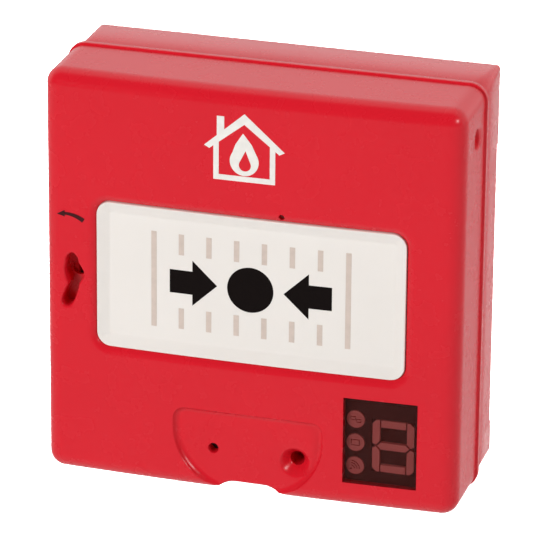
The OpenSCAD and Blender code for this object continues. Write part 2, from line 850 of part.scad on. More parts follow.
module sounder() {
    color(black) difference() {
        rod_y(-28, -20, 17, board_back_y + eps, board_back_y + comp_h);
        rod_y(-28, -20, 2, board_back_y + comp_h - 1, board_back_y + comp_h + 1);
    }
}

module processor() {
    color(black) rear_part(6, -14, 12, 12, 1.4);
}

module capacitors() {
    color([0.16, 0.20, 0.42]) for (z = [-4, -14, -24])
        rod_y(34, z, 8, board_back_y + eps, board_back_y + comp_h);
}

module reed_switch() {
    color(white) translate([magnet_x - 7, board_back_y + 1.2, magnet_z - 6])
        rotate([0, 90, 0]) cylinder(d = 2.2, h = 14);
}

module plate_switch() {
    ear_t = 1;
    ear_x = lever_w / 2 + 0.2;
    color(black) difference() {
        union() {
            translate([-switch_w / 2, switch_front_y, lever_pivot_z - 4])
                cube([switch_w, board_front_y - switch_front_y - eps, 17]);
            for (s = [0, 1]) mirror([s, 0, 0])
                translate([ear_x, lever_pivot_y - 1.2, lever_pivot_z - 1.3]) cube([ear_t, 4, 2.6]);
        }
        translate([-10, lever_pivot_y, lever_pivot_z]) rotate([0, 90, 0])
            cylinder(d = lever_pin_d + 2 * run_gap, h = 20);
    }
}

module test_switch() {
    color(black) translate([test_x - 3, test_switch_y(), test_z - 3])
        cube([6, board_front_y - test_switch_y() - eps, 6]);
}

function test_switch_y() = board_front_y - 3.5;

// ---- moving pieces of the front unit ----

// the switch's lever, from its pin up to the push plate's post
module switch_lever() {
    tilt = atan2(lever_rise, lever_len);
    color(steel) {
        translate([-lever_w / 2 - 1.1, lever_pivot_y, lever_pivot_z]) rotate([0, 90, 0])
            cylinder(d = lever_pin_d, h = lever_w + 2.2);
        translate([0, lever_pivot_y, lever_pivot_z]) rotate([tilt, 0, 0])
            translate([-lever_w / 2, -lever_t / 2, 0]) cube([lever_w, lever_t, lever_len + 1]);
    }
}

module reset_barrel() {
    slot_w = 1.6;
    color(cover_red) difference() {
        rod_y(key_x, key_z, barrel_d, barrel_front_y, cam_y + cam_t);
        translate([key_x - slot_w / 2, barrel_front_y - 1, key_z - barrel_d])
            cube([slot_w, 4, 2 * barrel_d]);
    }
}

// the cam on the barrel's rear end; it lifts the push plate back when the key is turned
module reset_cam() {
    color(cover_red) difference() {
        union() {
            rod_y(key_x, key_z, barrel_d + 2.4, cam_y + 0.4, cam_y + cam_t);
            translate([key_x - 1.5, cam_y + 0.4, key_z - cam_len]) cube([3, cam_t - 0.4, cam_len]);
        }
        rod_y(key_x, key_z, barrel_d + 0.02, cam_y, cam_y + cam_t + 1);
    }
}

module test_button() {
    color([0.8, 0.8, 0.78]) {
        rod_y(test_x, test_z, test_d, dome_y(test_x) + scoop_depth + test_sink, scoop_pad_y + 2);
        rod_y(test_x, test_z, test_d + 2.6, scoop_pad_y + 0.2, scoop_pad_y + 1.4);
        rod_y(test_x, test_z, test_d - 1, scoop_pad_y + 1, test_switch_y() - test_travel - 0.2);
    }
}

module test_spring() {
    turns_end = scoop_pad_y + 1.6;
    color(steel) difference() {
        rod_y(test_x, test_z, test_d + 2, turns_end + 0.5, test_switch_y() - 0.1);
        rod_y(test_x, test_z, test_d + 0.6, turns_end, test_switch_y() + 1);
    }
}

module cover_screw() {
    color(steel) difference() {
        union() {
            rod_y(screw_x, screw_z, screw_head_d, screw_seat_y - screw_head_h, screw_seat_y - 0.02);
            rod_y(screw_x, screw_z, screw_d, screw_seat_y - 0.5, screw_tip_y);
        }
        translate([screw_x - 0.4, screw_seat_y - screw_head_h - 1, screw_z - screw_head_d])
            cube([0.8, 2.2, 2 * screw_head_d]);
    }
}

module screw_clip() {
    color(steel) difference() {
        rod_y(screw_x, screw_z, 6, screw_tube_end_y + 0.1, screw_tube_end_y + 0.7);
        rod_y(screw_x, screw_z, screw_d + 0.04, screw_tube_end_y - 1, screw_tube_end_y + 2);
    }
}

back_box();
seam_gasket();
screw_insert();
battery_cradle();
batteries();
battery_contacts();
power_pins();
tamper_magnet();
front_cover();
house_pictogram();
turn_arrow();
cover_screw();
screw_clip();
plate_carrier();
carrier_screws();
display_lens();
display_mask();
digit_segments();
status_icons();
display_board();
display_header();
main_board();
board_screws();
radio_module();
antenna();
sounder();
processor();
capacitors();
reed_switch();
plate_switch();
test_switch();
push_plate();
plate_symbols();
plate_bars();
switch_lever();
reset_barrel();
reset_cam();
test_button();
test_spring();
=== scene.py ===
"""Looks of a manual call point: a red wall box with a hinged front unit and a push plate.

Sizes inside the classes are in millimetres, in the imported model's frame: X to the right,
Z up, Y into the wall, with the wall face at y = 0 and the front towards -Y.
"""

import logging
import math
from collections.abc import Callable, Iterable, Sequence
from dataclasses import dataclass, field
from enum import Enum

import bpy
import numpy as np
from mathutils import Matrix, Vector
from mathutils.geometry import delaunay_2d_cdt


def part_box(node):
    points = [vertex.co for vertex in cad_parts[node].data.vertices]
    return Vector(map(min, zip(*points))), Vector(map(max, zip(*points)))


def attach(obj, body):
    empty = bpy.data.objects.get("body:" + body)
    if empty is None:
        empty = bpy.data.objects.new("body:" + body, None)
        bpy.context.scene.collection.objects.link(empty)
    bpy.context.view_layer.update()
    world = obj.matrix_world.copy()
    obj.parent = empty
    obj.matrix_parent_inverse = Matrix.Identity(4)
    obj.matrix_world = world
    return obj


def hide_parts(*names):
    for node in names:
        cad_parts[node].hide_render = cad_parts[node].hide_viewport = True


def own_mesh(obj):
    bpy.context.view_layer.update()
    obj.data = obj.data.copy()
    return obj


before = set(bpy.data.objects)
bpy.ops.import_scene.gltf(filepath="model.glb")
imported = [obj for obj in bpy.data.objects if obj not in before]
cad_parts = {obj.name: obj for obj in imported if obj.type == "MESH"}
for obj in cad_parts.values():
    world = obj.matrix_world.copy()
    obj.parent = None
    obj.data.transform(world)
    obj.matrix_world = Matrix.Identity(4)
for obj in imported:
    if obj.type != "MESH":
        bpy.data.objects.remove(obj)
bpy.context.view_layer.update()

MM = 0.001
MERGE = 0.01  # points of an outline that lie nearer than this are one point
log = logging.getLogger("call_point")

Point = tuple[float, float]
Outline = list[Point]
Colour = tuple[float, float, float]
Place = tuple[float, float, float]


# ---- finishes ----


def linear(red: int, green: int, blue: int) -> Colour:
    """Turns a display colour, 0 to 255, into the shader's linear values.

    Args:
        red: Red, 0 to 255.
        green: Green.
        blue: Blue.

    Returns:
        The linear colour.
    """
    def one(value: int) -> float:
        """Turns one channel."""
        share = value / 255
        return share / 12.92 if share <= 0.04045 else ((share + 0.055) / 1.055) ** 2.4
    return one(red), one(green), one(blue)


class Nodes:
    """A material's node tree, with short calls to add and join nodes."""

    def __init__(self, name: str) -> None:
        """Makes the material and its empty tree.

        Args:
            name: The material's name.
        """
        self.material = bpy.data.materials.new(name)
        self.material.use_nodes = True
        self.tree = self.material.node_tree
        self.tree.nodes.clear()
        self.shader = self.add("ShaderNodeBsdfPrincipled")
        output = self.add("ShaderNodeOutputMaterial")
        self.join(self.shader.outputs["BSDF"], output.inputs["Surface"])
        self.place = self.add("ShaderNodeTexCoord").outputs["Object"]

    def add(self, kind: str, **settings: object) -> bpy.types.Node:
        """Adds a node and sets its properties.

        Args:
            kind: The node's type name.
            settings: Properties of the node.

        Returns:
            The new node.
        """
        node = self.tree.nodes.new(kind)
        for key, value in settings.items():
            setattr(node, key, value)
        return node

    def join(self, source: bpy.types.NodeSocket, target: bpy.types.NodeSocket) -> None:
        """Links an output to an input."""
        self.tree.links.new(source, target)

    def noise(self, scale: float, detail: float = 2.0, stretch: Colour = (1, 1, 1),
              ) -> bpy.types.NodeSocket:
        """Adds a noise pattern in the piece's own space.

        Args:
            scale: Bumps per metre.
            detail: Octaves of the noise.
            stretch: Scale along each axis.

        Returns:
            The noise value's socket.
        """
        mapping = self.add("ShaderNodeMapping")
        mapping.inputs["Scale"].default_value = stretch
        self.join(self.place, mapping.inputs["Vector"])
        node = self.add("ShaderNodeTexNoise")
        node.inputs["Scale"].default_value = scale
        node.inputs["Detail"].default_value = detail
        self.join(mapping.outputs["Vector"], node.inputs["Vector"])
        return node.outputs["Fac"]

    def span(self, value: bpy.types.NodeSocket, low: float, high: float,
             source: Point = (0.3, 0.7)) -> bpy.types.NodeSocket:
        """Maps a value from its source range to low..high.

        Args:
            value: The socket to map.
            low: Result at the source range's start.
            high: Result at its end.
            source: The source range.

        Returns:
            The mapped value's socket.
        """
        node = self.add("ShaderNodeMapRange")
        for name, number in (("From Min", source[0]), ("From Max", source[1]),
                             ("To Min", low), ("To Max", high)):
            node.inputs[name].default_value = number
        self.join(value, node.inputs["Value"])
        return node.outputs["Result"]

    def mix(self, share: bpy.types.NodeSocket, first: Colour, second: Colour,
            ) -> bpy.types.NodeSocket:
        """Mixes two colours by a socket's value.

        Args:
            share: Share of the second colour.
            first: Colour at 0.
            second: Colour at 1.

        Returns:
            The colour socket.
        """
        node = self.add("ShaderNodeMix", data_type="RGBA")
        self.join(share, node.inputs["Factor"])
        node.inputs[6].default_value = (*first, 1)
        node.inputs[7].default_value = (*second, 1)
        return node.outputs[2]

    def paint(self, colour: bpy.types.NodeSocket) -> None:
        """Takes the base colour from a socket."""
        self.join(colour, self.shader.inputs["Base Color"])

    def bump(self, height: bpy.types.NodeSocket, strength: float, depth_mm: float) -> None:
        """Raises the surface's fine relief.

        Args:
            height: The relief's socket, 0 to 1.
            strength: How much of it shows.
            depth_mm: The relief's depth.
        """
        node = self.add("ShaderNodeBump")
        node.inputs["Strength"].default_value = strength
        node.inputs["Distance"].default_value = depth_mm * MM
        self.join(height, node.inputs["Height"])
        self.join(node.outputs["Normal"], self.shader.inputs["Normal"])


def shade(colour: Colour, factor: float) -> Colour:
    """Scales a linear colour."""
    return tuple(min(1.0, c * factor) for c in colour)


@dataclass(frozen=True)
class MouldedPlastic:
    """An injection-moulded plastic with a soft gloss and the faint ripple of its mould."""

    name: str
    colour: Colour
    roughness: float = 0.32
    ripple: float = 0.06
    grain: float = 0.03
    variation: float = 0.04
    specular: float = 0.5
    soft: float = 0.0

    def build(self) -> bpy.types.Material:
        """Makes the material."""
        nodes = Nodes(self.name)
        cloud = nodes.noise(22, 3)
        nodes.paint(nodes.mix(nodes.span(cloud, 0, 1), shade(self.colour, 1 - self.variation),
                              shade(self.colour, 1 + self.variation)))
        fine = nodes.noise(2600, 2)
        nodes.join(nodes.span(nodes.noise(140, 4), self.roughness - 0.012, self.roughness + 0.012),
                   nodes.shader.inputs["Roughness"])
        ripple = nodes.noise(160, 2)
        both = nodes.add("ShaderNodeMath", operation="MULTIPLY_ADD")
        nodes.join(fine, both.inputs[0])
        both.inputs[1].default_value = self.grain
        nodes.join(ripple, both.inputs[2])
        nodes.bump(both.outputs[0], self.ripple, 0.3)
        nodes.shader.inputs["Specular IOR Level"].default_value = self.specular
        if self.soft:
            nodes.shader.inputs["Subsurface Weight"].default_value = self.soft
            nodes.shader.inputs["Subsurface Radius"].default_value = (1.0, 0.9, 0.8)
            nodes.shader.inputs["Subsurface Scale"].default_value = 0.6 * MM
        return nodes.material


@dataclass(frozen=True)
class Ink:
    """A printed film, matt and slightly uneven in its cover."""

    name: str
    colour: Colour
    roughness: float = 0.45
    specular: float = 0.5

    def build(self) -> bpy.types.Material:
        """Makes the material."""
        nodes = Nodes(self.name)
        cover = nodes.noise(420, 4)
        nodes.paint(nodes.mix(nodes.span(cover, 0, 1), shade(self.colour, 0.94),
                              shade(self.colour, 1.05)))
        nodes.join(nodes.span(nodes.noise(900, 3), self.roughness - 0.05, self.roughness + 0.05),
                   nodes.shader.inputs["Roughness"])
        nodes.bump(nodes.noise(2200, 3), 0.12, 0.05)
        nodes.shader.inputs["Specular IOR Level"].default_value = self.specular
        return nodes.material


@dataclass(frozen=True)
class TurnedMetal:
    """Bare or plated metal with fine tool marks along one axis."""

    name: str
    colour: Colour
    roughness: float = 0.3
    marks: Colour = (1, 12, 1)

    def build(self) -> bpy.types.Material:
        """Makes the material."""
        nodes = Nodes(self.name)
        nodes.shader.inputs["Metallic"].default_value = 1.0
        marks = nodes.noise(900, 3, self.marks)
        nodes.paint(nodes.mix(nodes.span(nodes.noise(90, 3), 0, 1), shade(self.colour, 0.86),
                              shade(self.colour, 1.06)))
        nodes.join(nodes.span(marks, self.roughness - 0.08, self.roughness + 0.1),
                   nodes.shader.inputs["Roughness"])
        nodes.bump(marks, 0.25, 0.03)
        return nodes.material


@dataclass(frozen=True)
class SmokedLens:
    """Clear plastic with a dark red smoke tint."""

    name: str
    colour: Colour
    cover: float

    def build(self) -> bpy.types.Material:
        """Makes the material."""
        nodes = Nodes(self.name)
        nodes.paint(nodes.mix(nodes.span(nodes.noise(60, 2), 0, 1), shade(self.colour, 0.97),
                              shade(self.colour, 1.03)))
        nodes.shader.inputs["Alpha"].default_value = self.cover
        nodes.shader.inputs["Specular IOR Level"].default_value = 0.25
        nodes.join(nodes.span(nodes.noise(300, 3), 0.06, 0.1), nodes.shader.inputs["Roughness"])
        nodes.bump(nodes.noise(150, 2), 0.03, 0.2)
        return nodes.material


@dataclass(frozen=True)
class BoardLacquer:
    """Circuit board with lacquered copper tracks."""

    name: str
    colour: Colour
    track: Colour

    def build(self) -> bpy.types.Material:
        """Makes the material."""
        nodes = Nodes(self.name)
        brick = nodes.add("ShaderNodeTexBrick", offset=0.5, squash=0.6)
        turn = nodes.add("ShaderNodeMapping")
        turn.inputs["Rotation"].default_value = (math.pi / 2, 0, 0)
        nodes.join(nodes.place, turn.inputs["Vector"])
        nodes.join(turn.outputs["Vector"], brick.inputs["Vector"])
        for key, value in (("Scale", 150.0), ("Mortar Size", 0.06), ("Mortar Smooth", 0.2),
                           ("Brick Width", 1.7), ("Row Height", 0.4)):
            brick.inputs[key].default_value = value
        nodes.paint(nodes.mix(brick.outputs["Fac"], self.colour, self.track))
        nodes.join(nodes.span(nodes.noise(500, 2), 0.25, 0.38), nodes.shader.inputs["Roughness"])
        nodes.bump(brick.outputs["Fac"], 0.3, 0.05)
        return nodes.material


@dataclass(frozen=True)
class WrappedCell:
    """A printed sleeve with a plain band round one end."""

    name: str
    colour: Colour
    band: Colour
    band_from: float

    def build(self) -> bpy.types.Material:
        """Makes the material."""
        nodes = Nodes(self.name)
        split = nodes.add("ShaderNodeSeparateXYZ")
        nodes.join(nodes.place, split.inputs["Vector"])
        edge = nodes.span(split.outputs["X"], 0, 1,
                          (self.band_from * MM, (self.band_from + 0.2) * MM))
        nodes.paint(nodes.mix(edge, self.colour, self.band))
        nodes.join(nodes.span(nodes.noise(300, 3), 0.22, 0.34), nodes.shader.inputs["Roughness"])
        nodes.bump(nodes.noise(700, 3, (1, 4, 4)), 0.15, 0.05)
        return nodes.material


class Finish(Enum):
    """Every finish on the object."""

    COVER_RED = MouldedPlastic("cover_red", (0.70, 0.0095, 0.022), 0.27, 0.012, 0.02, 0.02,
                               specular=0.38)
    PLATE_WHITE = MouldedPlastic("plate_white", linear(238, 232, 226), 0.38, 0.04, 0.04, 0.015,
                                 soft=0.15)
    PRINT_WHITE = Ink("print_white", linear(240, 236, 230), 0.4)
    PRINT_BLACK = Ink("print_black", linear(18, 11, 10), 0.55, 0.1)
    FADED_INK = Ink("faded_ink", linear(66, 24, 26), 0.5, 0.2)
    BAR_GREY = Ink("bar_grey", linear(213, 196, 185), 0.5)
    SMOKED_LENS = SmokedLens("smoked_lens", linear(66, 20, 16), 0.3)
    MASK_BLACK = MouldedPlastic("mask_black", linear(58, 20, 18), 0.6, specular=0.2)
    DIM_RED = MouldedPlastic("dim_red_diffuser", linear(232, 112, 108), 0.5)
    BOARD_GREEN = BoardLacquer("board_green", linear(14, 84, 52), linear(40, 122, 70))
    CARRIER_GREY = MouldedPlastic("carrier_grey", linear(70, 71, 75), 0.5, 0.1, 0.1)
    DARK_STEEL = TurnedMetal("dark_steel", linear(74, 66, 66), 0.42)
    STEEL = TurnedMetal("steel", linear(198, 200, 204), 0.3)
    BRASS = TurnedMetal("brass", linear(214, 178, 104), 0.28)
    GASKET_RUBBER = MouldedPlastic("gasket_rubber", linear(30, 30, 32), 0.7, 0.2, 0.3)
    CRADLE_BLACK = MouldedPlastic("cradle_black", linear(36, 36, 38), 0.5, 0.1, 0.15)
    BATTERY_WRAP = WrappedCell("battery_wrap", linear(214, 120, 40), linear(38, 38, 42), 6.0)
    CAPACITOR_BLUE = WrappedCell("capacitor_blue", linear(44, 58, 118), linear(44, 58, 118), 90)
    PALE_PLASTIC = MouldedPlastic("pale_plastic", linear(222, 220, 212), 0.4, 0.08, 0.08)


class Workshop:
    """Makes each finish once and gives it to the pieces."""

    def __init__(self) -> None:
        """Starts with no finish made."""
        self.made: dict[Finish, bpy.types.Material] = {}

    def material(self, finish: Finish) -> bpy.types.Material:
        """Returns the material of a finish, made on first use.

        Args:
            finish: The finish.

        Returns:
            Its material.
        """
        if finish not in self.made:
            self.made[finish] = finish.value.build()
        return self.made[finish]

    def dress(self, piece: bpy.types.Object, finish: Finish) -> bpy.types.Object:
        """Gives a piece one finish all over.

        Args:
            piece: The piece.
            finish: Its finish.

        Returns:
            The piece.
        """
        piece.data.materials.clear()
        piece.data.materials.append(self.material(finish))
        return piece

    def dress_node(self, node: str, finish: Finish) -> None:
        """Gives a carried-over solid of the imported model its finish.

        Args:
            node: The solid's name.
            finish: Its finish.
        """
        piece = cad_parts[node]
        if not piece.material_slots:
            piece.data.materials.append(None)
        for held in piece.material_slots:
            held.material = self.material(finish)

    def fit(self, piece: bpy.types.Object, finish: Finish, body: str, *nodes: str) -> None:
        """Dresses a piece, lets it ride on its body and stand for the named solids.

        Args:
            piece: The finished piece.
            finish: Its finish.
            body: The body it moves with.
            nodes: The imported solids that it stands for.
        """
        self.dress(piece, finish)
        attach(piece, body)
        if nodes:
            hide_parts(*nodes)
        log.info("%s rides on %s, %d faces", piece.name, body, len(piece.data.polygons))


# ---- outlines in X and Z, counter-clockwise ----


def arc(centre: Point, radius: float, start: float, stop: float, steps: int) -> Outline:
    """Points on an arc.

    Args:
        centre: The arc's centre.
        radius: Its radius.
        start: First angle in degrees from +X.
        stop: Last angle.
        steps: Number of equal steps.

    Returns:
        The points, both ends included.
    """
    return [(centre[0] + radius * math.cos(math.radians(start + (stop - start) * k / steps)),
             centre[1] + radius * math.sin(math.radians(start + (stop - start) * k / steps)))
            for k in range(steps + 1)]


def circle(centre: Point, radius: float, steps: int) -> Outline:
    """A closed circle of that many points."""
    return arc(centre, radius, 0, 360, steps)[:-1]


def corners(reach: Point, middle: float = 0) -> Outline:
    """Four places, that far each way from a middle at the given height."""
    return [(sx * reach[0], middle + sz * reach[1]) for sx in (-1, 1) for sz in (-1, 1)]


def spaced(outline: Outline, pitch: float, closed: bool = True) -> Outline:
    """Adds points along an outline's straight runs.

    Args:
        outline: The corner points.
        pitch: Longest step between points.
        closed: Whether the last point joins the first.

    Returns:
        The outline with its long runs divided evenly.
    """
    result: Outline = []
    count = len(outline)
    for i in range(count if closed else count - 1):
        a, b = outline[i], outline[(i + 1) % count]
        steps = max(1, math.ceil(math.dist(a, b) / pitch))
        result += [(a[0] + (b[0] - a[0]) * k / steps, a[1] + (b[1] - a[1]) * k / steps)
                   for k in range(steps)]
    return result if closed else [*result, outline[-1]]


def round_rect(width: float, height: float, radius: float, centre: Point = (0, 0),
               steps: int = 10, pitch: float = 2.0) -> Outline:
    """A rectangle with round corners.

    Args:
        width: Its width.
        height: Its height.
        radius: The corners' radius.
        centre: Its middle.
        steps: Steps in each corner.
        pitch: Longest step on the straight runs.

    Returns:
        The closed outline.
    """
    points: Outline = []
    for sx, sz, start in ((1, 1, 0), (-1, 1, 90), (-1, -1, 180), (1, -1, 270)):
        middle = (centre[0] + sx * (width / 2 - radius), centre[1] + sz * (height / 2 - radius))
        points += arc(middle, radius, start, start + 90, steps) if radius > 1e-6 else [middle]
    return spaced(points, pitch)


def smooth_loop(knots: Sequence[Point], steps: int = 6) -> Outline:
    """A closed smooth curve through given points.

    Args:
        knots: The points it runs through.
        steps: Steps between two of them.

    Returns:
        The closed outline.
    """
    points: Outline = []
    count = len(knots)
    for i in range(count):
        p0, p1, p2, p3 = (knots[(i + k - 1) % count] for k in range(4))
        for k in range(steps):
            t = k / steps
            points.append(tuple(
                0.5 * (2 * p1[c] + (p2[c] - p0[c]) * t
                       + (2 * p0[c] - 5 * p1[c] + 4 * p2[c] - p3[c]) * t * t
                       + (3 * p1[c] - p0[c] - 3 * p2[c] + p3[c]) * t ** 3) for c in (0, 1)))
    return points


def grown(outline: Outline, by: float) -> Outline:
    """Moves a counter-clockwise outline outwards along its own normals.

    Args:
        outline: The outline.
        by: How far it grows.

    Returns:
        The larger outline, point for point.
    """
    count = len(outline)
    points: Outline = []
    for i, (x, z) in enumerate(outline):
        (ax, az), (bx, bz) = outline[i - 1], outline[(i + 1) % count]
        length = math.hypot(bx - ax, bz - az) or 1.0
        points.append((x + by * (bz - az) / length, z - by * (bx - ax) / length))
    return points


def rect_distance(x: np.ndarray, z: np.ndarray, width: float, height: float, radius: float,
                  ) -> np.ndarray:
    """Distance outside a centred rounded rectangle, negative inside it.

    Args:
        x: Distances to the right of its middle.
        z: Heights over its middle.
        width: Its width.
        height: Its height.
        radius: Its corners' radius.

    Returns:
        The distances.
    """
    dx, dz = np.abs(x) - (width / 2 - radius), np.abs(z) - (height / 2 - radius)
    outer = np.hypot(np.maximum(dx, 0), np.maximum(dz, 0))
    return outer + np.minimum(np.maximum(dx, dz), 0) - radius


def inside(x: np.ndarray, z: np.ndarray, outline: Outline) -> np.ndarray:
    """Which of the points lie inside a closed outline.

    Args:
        x: Distances to the right.
        z: Heights.
        outline: The outline.

    Returns:
        True for each point inside.
    """
    hit = np.zeros(len(x), bool)
    for (ax, az), (bx, bz) in zip(outline, outline[1:] + outline[:1]):
        if az == bz:
            continue
        crosses = (az > z) != (bz > z)
        hit ^= crosses & (x < (bx - ax) * (z - az) / (bz - az) + ax)
    return hit


def outline_distance(x: np.ndarray, z: np.ndarray, outline: Outline) -> np.ndarray:
    """Distance to a closed outline, negative inside it.

    Args:
        x: Distances to the right.
        z: Heights.
        outline: The outline.

    Returns:
        The distances.
    """
    best = np.full(len(x), 1e9)
    for (ax, az), (bx, bz) in zip(outline, outline[1:] + outline[:1]):
        ux, uz = bx - ax, bz - az
        length = ux * ux + uz * uz
        if length < 1e-12:
            continue
        t = np.clip(((x - ax) * ux + (z - az) * uz) / length, 0, 1)
        best = np.minimum(best, np.hypot(x - ax - t * ux, z - az - t * uz))
    return np.where(inside(x, z, outline), -best, best)


def ramp(value: np.ndarray) -> np.ndarray:
    """A soft step from 0 to 1."""
    t = np.clip(value, 0, 1)
    return t * t * (3 - 2 * t)


def fillet(distance: np.ndarray, radius: float) -> np.ndarray:
    """How far a rounded edge falls back at a distance from the edge."""
    t = np.clip(distance, 0, radius)
    return radius - np.sqrt(np.maximum(radius * radius - (radius - t) ** 2, 0))


def higher(a: np.ndarray, b: np.ndarray, blend: float) -> np.ndarray:
    """The larger of two heights, with a soft change from one to the other."""
    h = np.clip(0.5 + 0.5 * (a - b) / blend, 0, 1)
    return b + (a - b) * h + blend * h * (1 - h)


# ---- solids ----


class Shell:
    """Vertices and faces of one solid, gathered in millimetres."""

    def __init__(self) -> None:
        """Starts empty."""
        self.points: list[tuple[float, float, float]] = []
        self.faces: list[tuple[int, ...]] = []

    def ring(self, outline: Iterable[Point], y: float | Sequence[float]) -> list[int]:
        """Adds one ring of points.

        Args:
            outline: The points in X and Z.
            y: Their depth, one value or one for each.

        Returns:
            The points' numbers.
        """
        flat = list(outline)
        depths = [y] * len(flat) if isinstance(y, (int, float)) else list(y)
        start = len(self.points)
        self.points += [(x, d, z) for (x, z), d in zip(flat, depths)]
        return list(range(start, len(self.points)))

    def bridge(self, front: Sequence[int], back: Sequence[int], closed: bool = True) -> None:
        """Joins two rings of equal length, the first nearer the front.

        Args:
            front: The front ring, counter-clockwise for an outer wall.
            back: The ring behind it.
            closed: Whether the last point joins the first.
        """
        count = len(front)
        for i in range(count if closed else count - 1):
            j = (i + 1) % count
            self.faces.append((front[j], front[i], back[i], back[j]))

    def cap(self, ring: Sequence[int], faces_front: bool) -> None:
        """Closes a counter-clockwise ring with one face."""
        self.faces.append(tuple(ring) if faces_front else tuple(reversed(ring)))

    def loft(self, sections: Iterable[tuple[Outline, float]]) -> "Shell":
        """Adds a closed solid through outlines and their depths, from front to back.

        Args:
            sections: Each outline with its depth.

        Returns:
            The shell.
        """
        rings = [self.ring(outline, y) for outline, y in sections]
        for front, back in zip(rings, rings[1:]):
            self.bridge(front, back)
        self.cap(rings[0], True)
        self.cap(rings[-1], False)
        return self

    def extrude(self, outline: Outline, front: float, back: float) -> "Shell":
        """Adds a closed prism between two depths and returns the shell."""
        return self.loft(((outline, front), (outline, back)))

    def carry(self, ring: list[int], outline: Outline, depths: Iterable[float]) -> list[int]:
        """Carries a wall from a ring back through an outline at each depth.

        Args:
            ring: The ring to start from.
            outline: The wall's outline.
            depths: Where its next rings lie.

        Returns:
            The last ring.
        """
        for y in depths:
            back = self.ring(outline, y)
            self.bridge(ring, back)
            ring = back
        return ring

    def turn(self, centre: Point, profile: Sequence[Point], steps: int) -> "Shell":
        """Adds a closed turned solid about an axis along Y.

        Args:
            centre: The axis in X and Z.
            profile: (radius, y) from front to back; a radius of 0 is a pole.
            steps: Facets round the axis.

        Returns:
            The shell.
        """
        rings: list[list[int]] = []
        for radius, y in profile:
            at = [centre] if radius < 1e-9 else circle(centre, radius, steps)
            rings.append(self.ring(at, y))
        for front, back in zip(rings, rings[1:]):
            if len(front) > 1 and len(back) > 1:
                self.bridge(front, back)
            elif len(front) == 1:
                self.faces += [(front[0], back[i], back[(i + 1) % steps]) for i in range(steps)]
            else:
                self.faces += [(back[0], front[(i + 1) % steps], front[i]) for i in range(steps)]
        if len(rings[0]) > 1:
            self.cap(rings[0], True)
        if len(rings[-1]) > 1:
            self.cap(rings[-1], False)
        return self

    def box(self, low: Sequence[float], high: Sequence[float]) -> "Shell":
        """Adds a closed block between two corners and returns the shell."""
        corners = [(low[0], low[2]), (high[0], low[2]), (high[0], high[2]), (low[0], high[2])]
        return self.extrude(corners, low[1], high[1])

    def make(self, name: str, sharp: float = 32.0, smooth: bool = True) -> bpy.types.Object:
        """Makes the mesh object, in metres.

        Args:
            name: The object's name.
            sharp: Edges over this many degrees stay sharp.
            smooth: Whether the other edges are shaded smooth.

        Returns:
            The new object, linked to the scene.
        """
        mesh = bpy.data.meshes.new(name)
        mesh.from_pydata([(x * MM, y * MM, z * MM) for x, y, z in self.points], [], self.faces)
        mesh.validate()
        piece = bpy.data.objects.new(name, mesh)
        bpy.context.scene.collection.objects.link(piece)
        if smooth:
            soften(piece, sharp)
        return piece


def soften(piece: bpy.types.Object, sharp: float = 32.0) -> None:
    """Shades a piece smooth but for its edges over that many degrees.

    Args:
        piece: The piece.
        sharp: The angle in degrees.
    """
    mesh = piece.data
    mesh.polygons.foreach_set("use_smooth", [True] * len(mesh.polygons))
    mesh.set_sharp_from_angle(angle=math.radians(sharp))
    mesh.update()


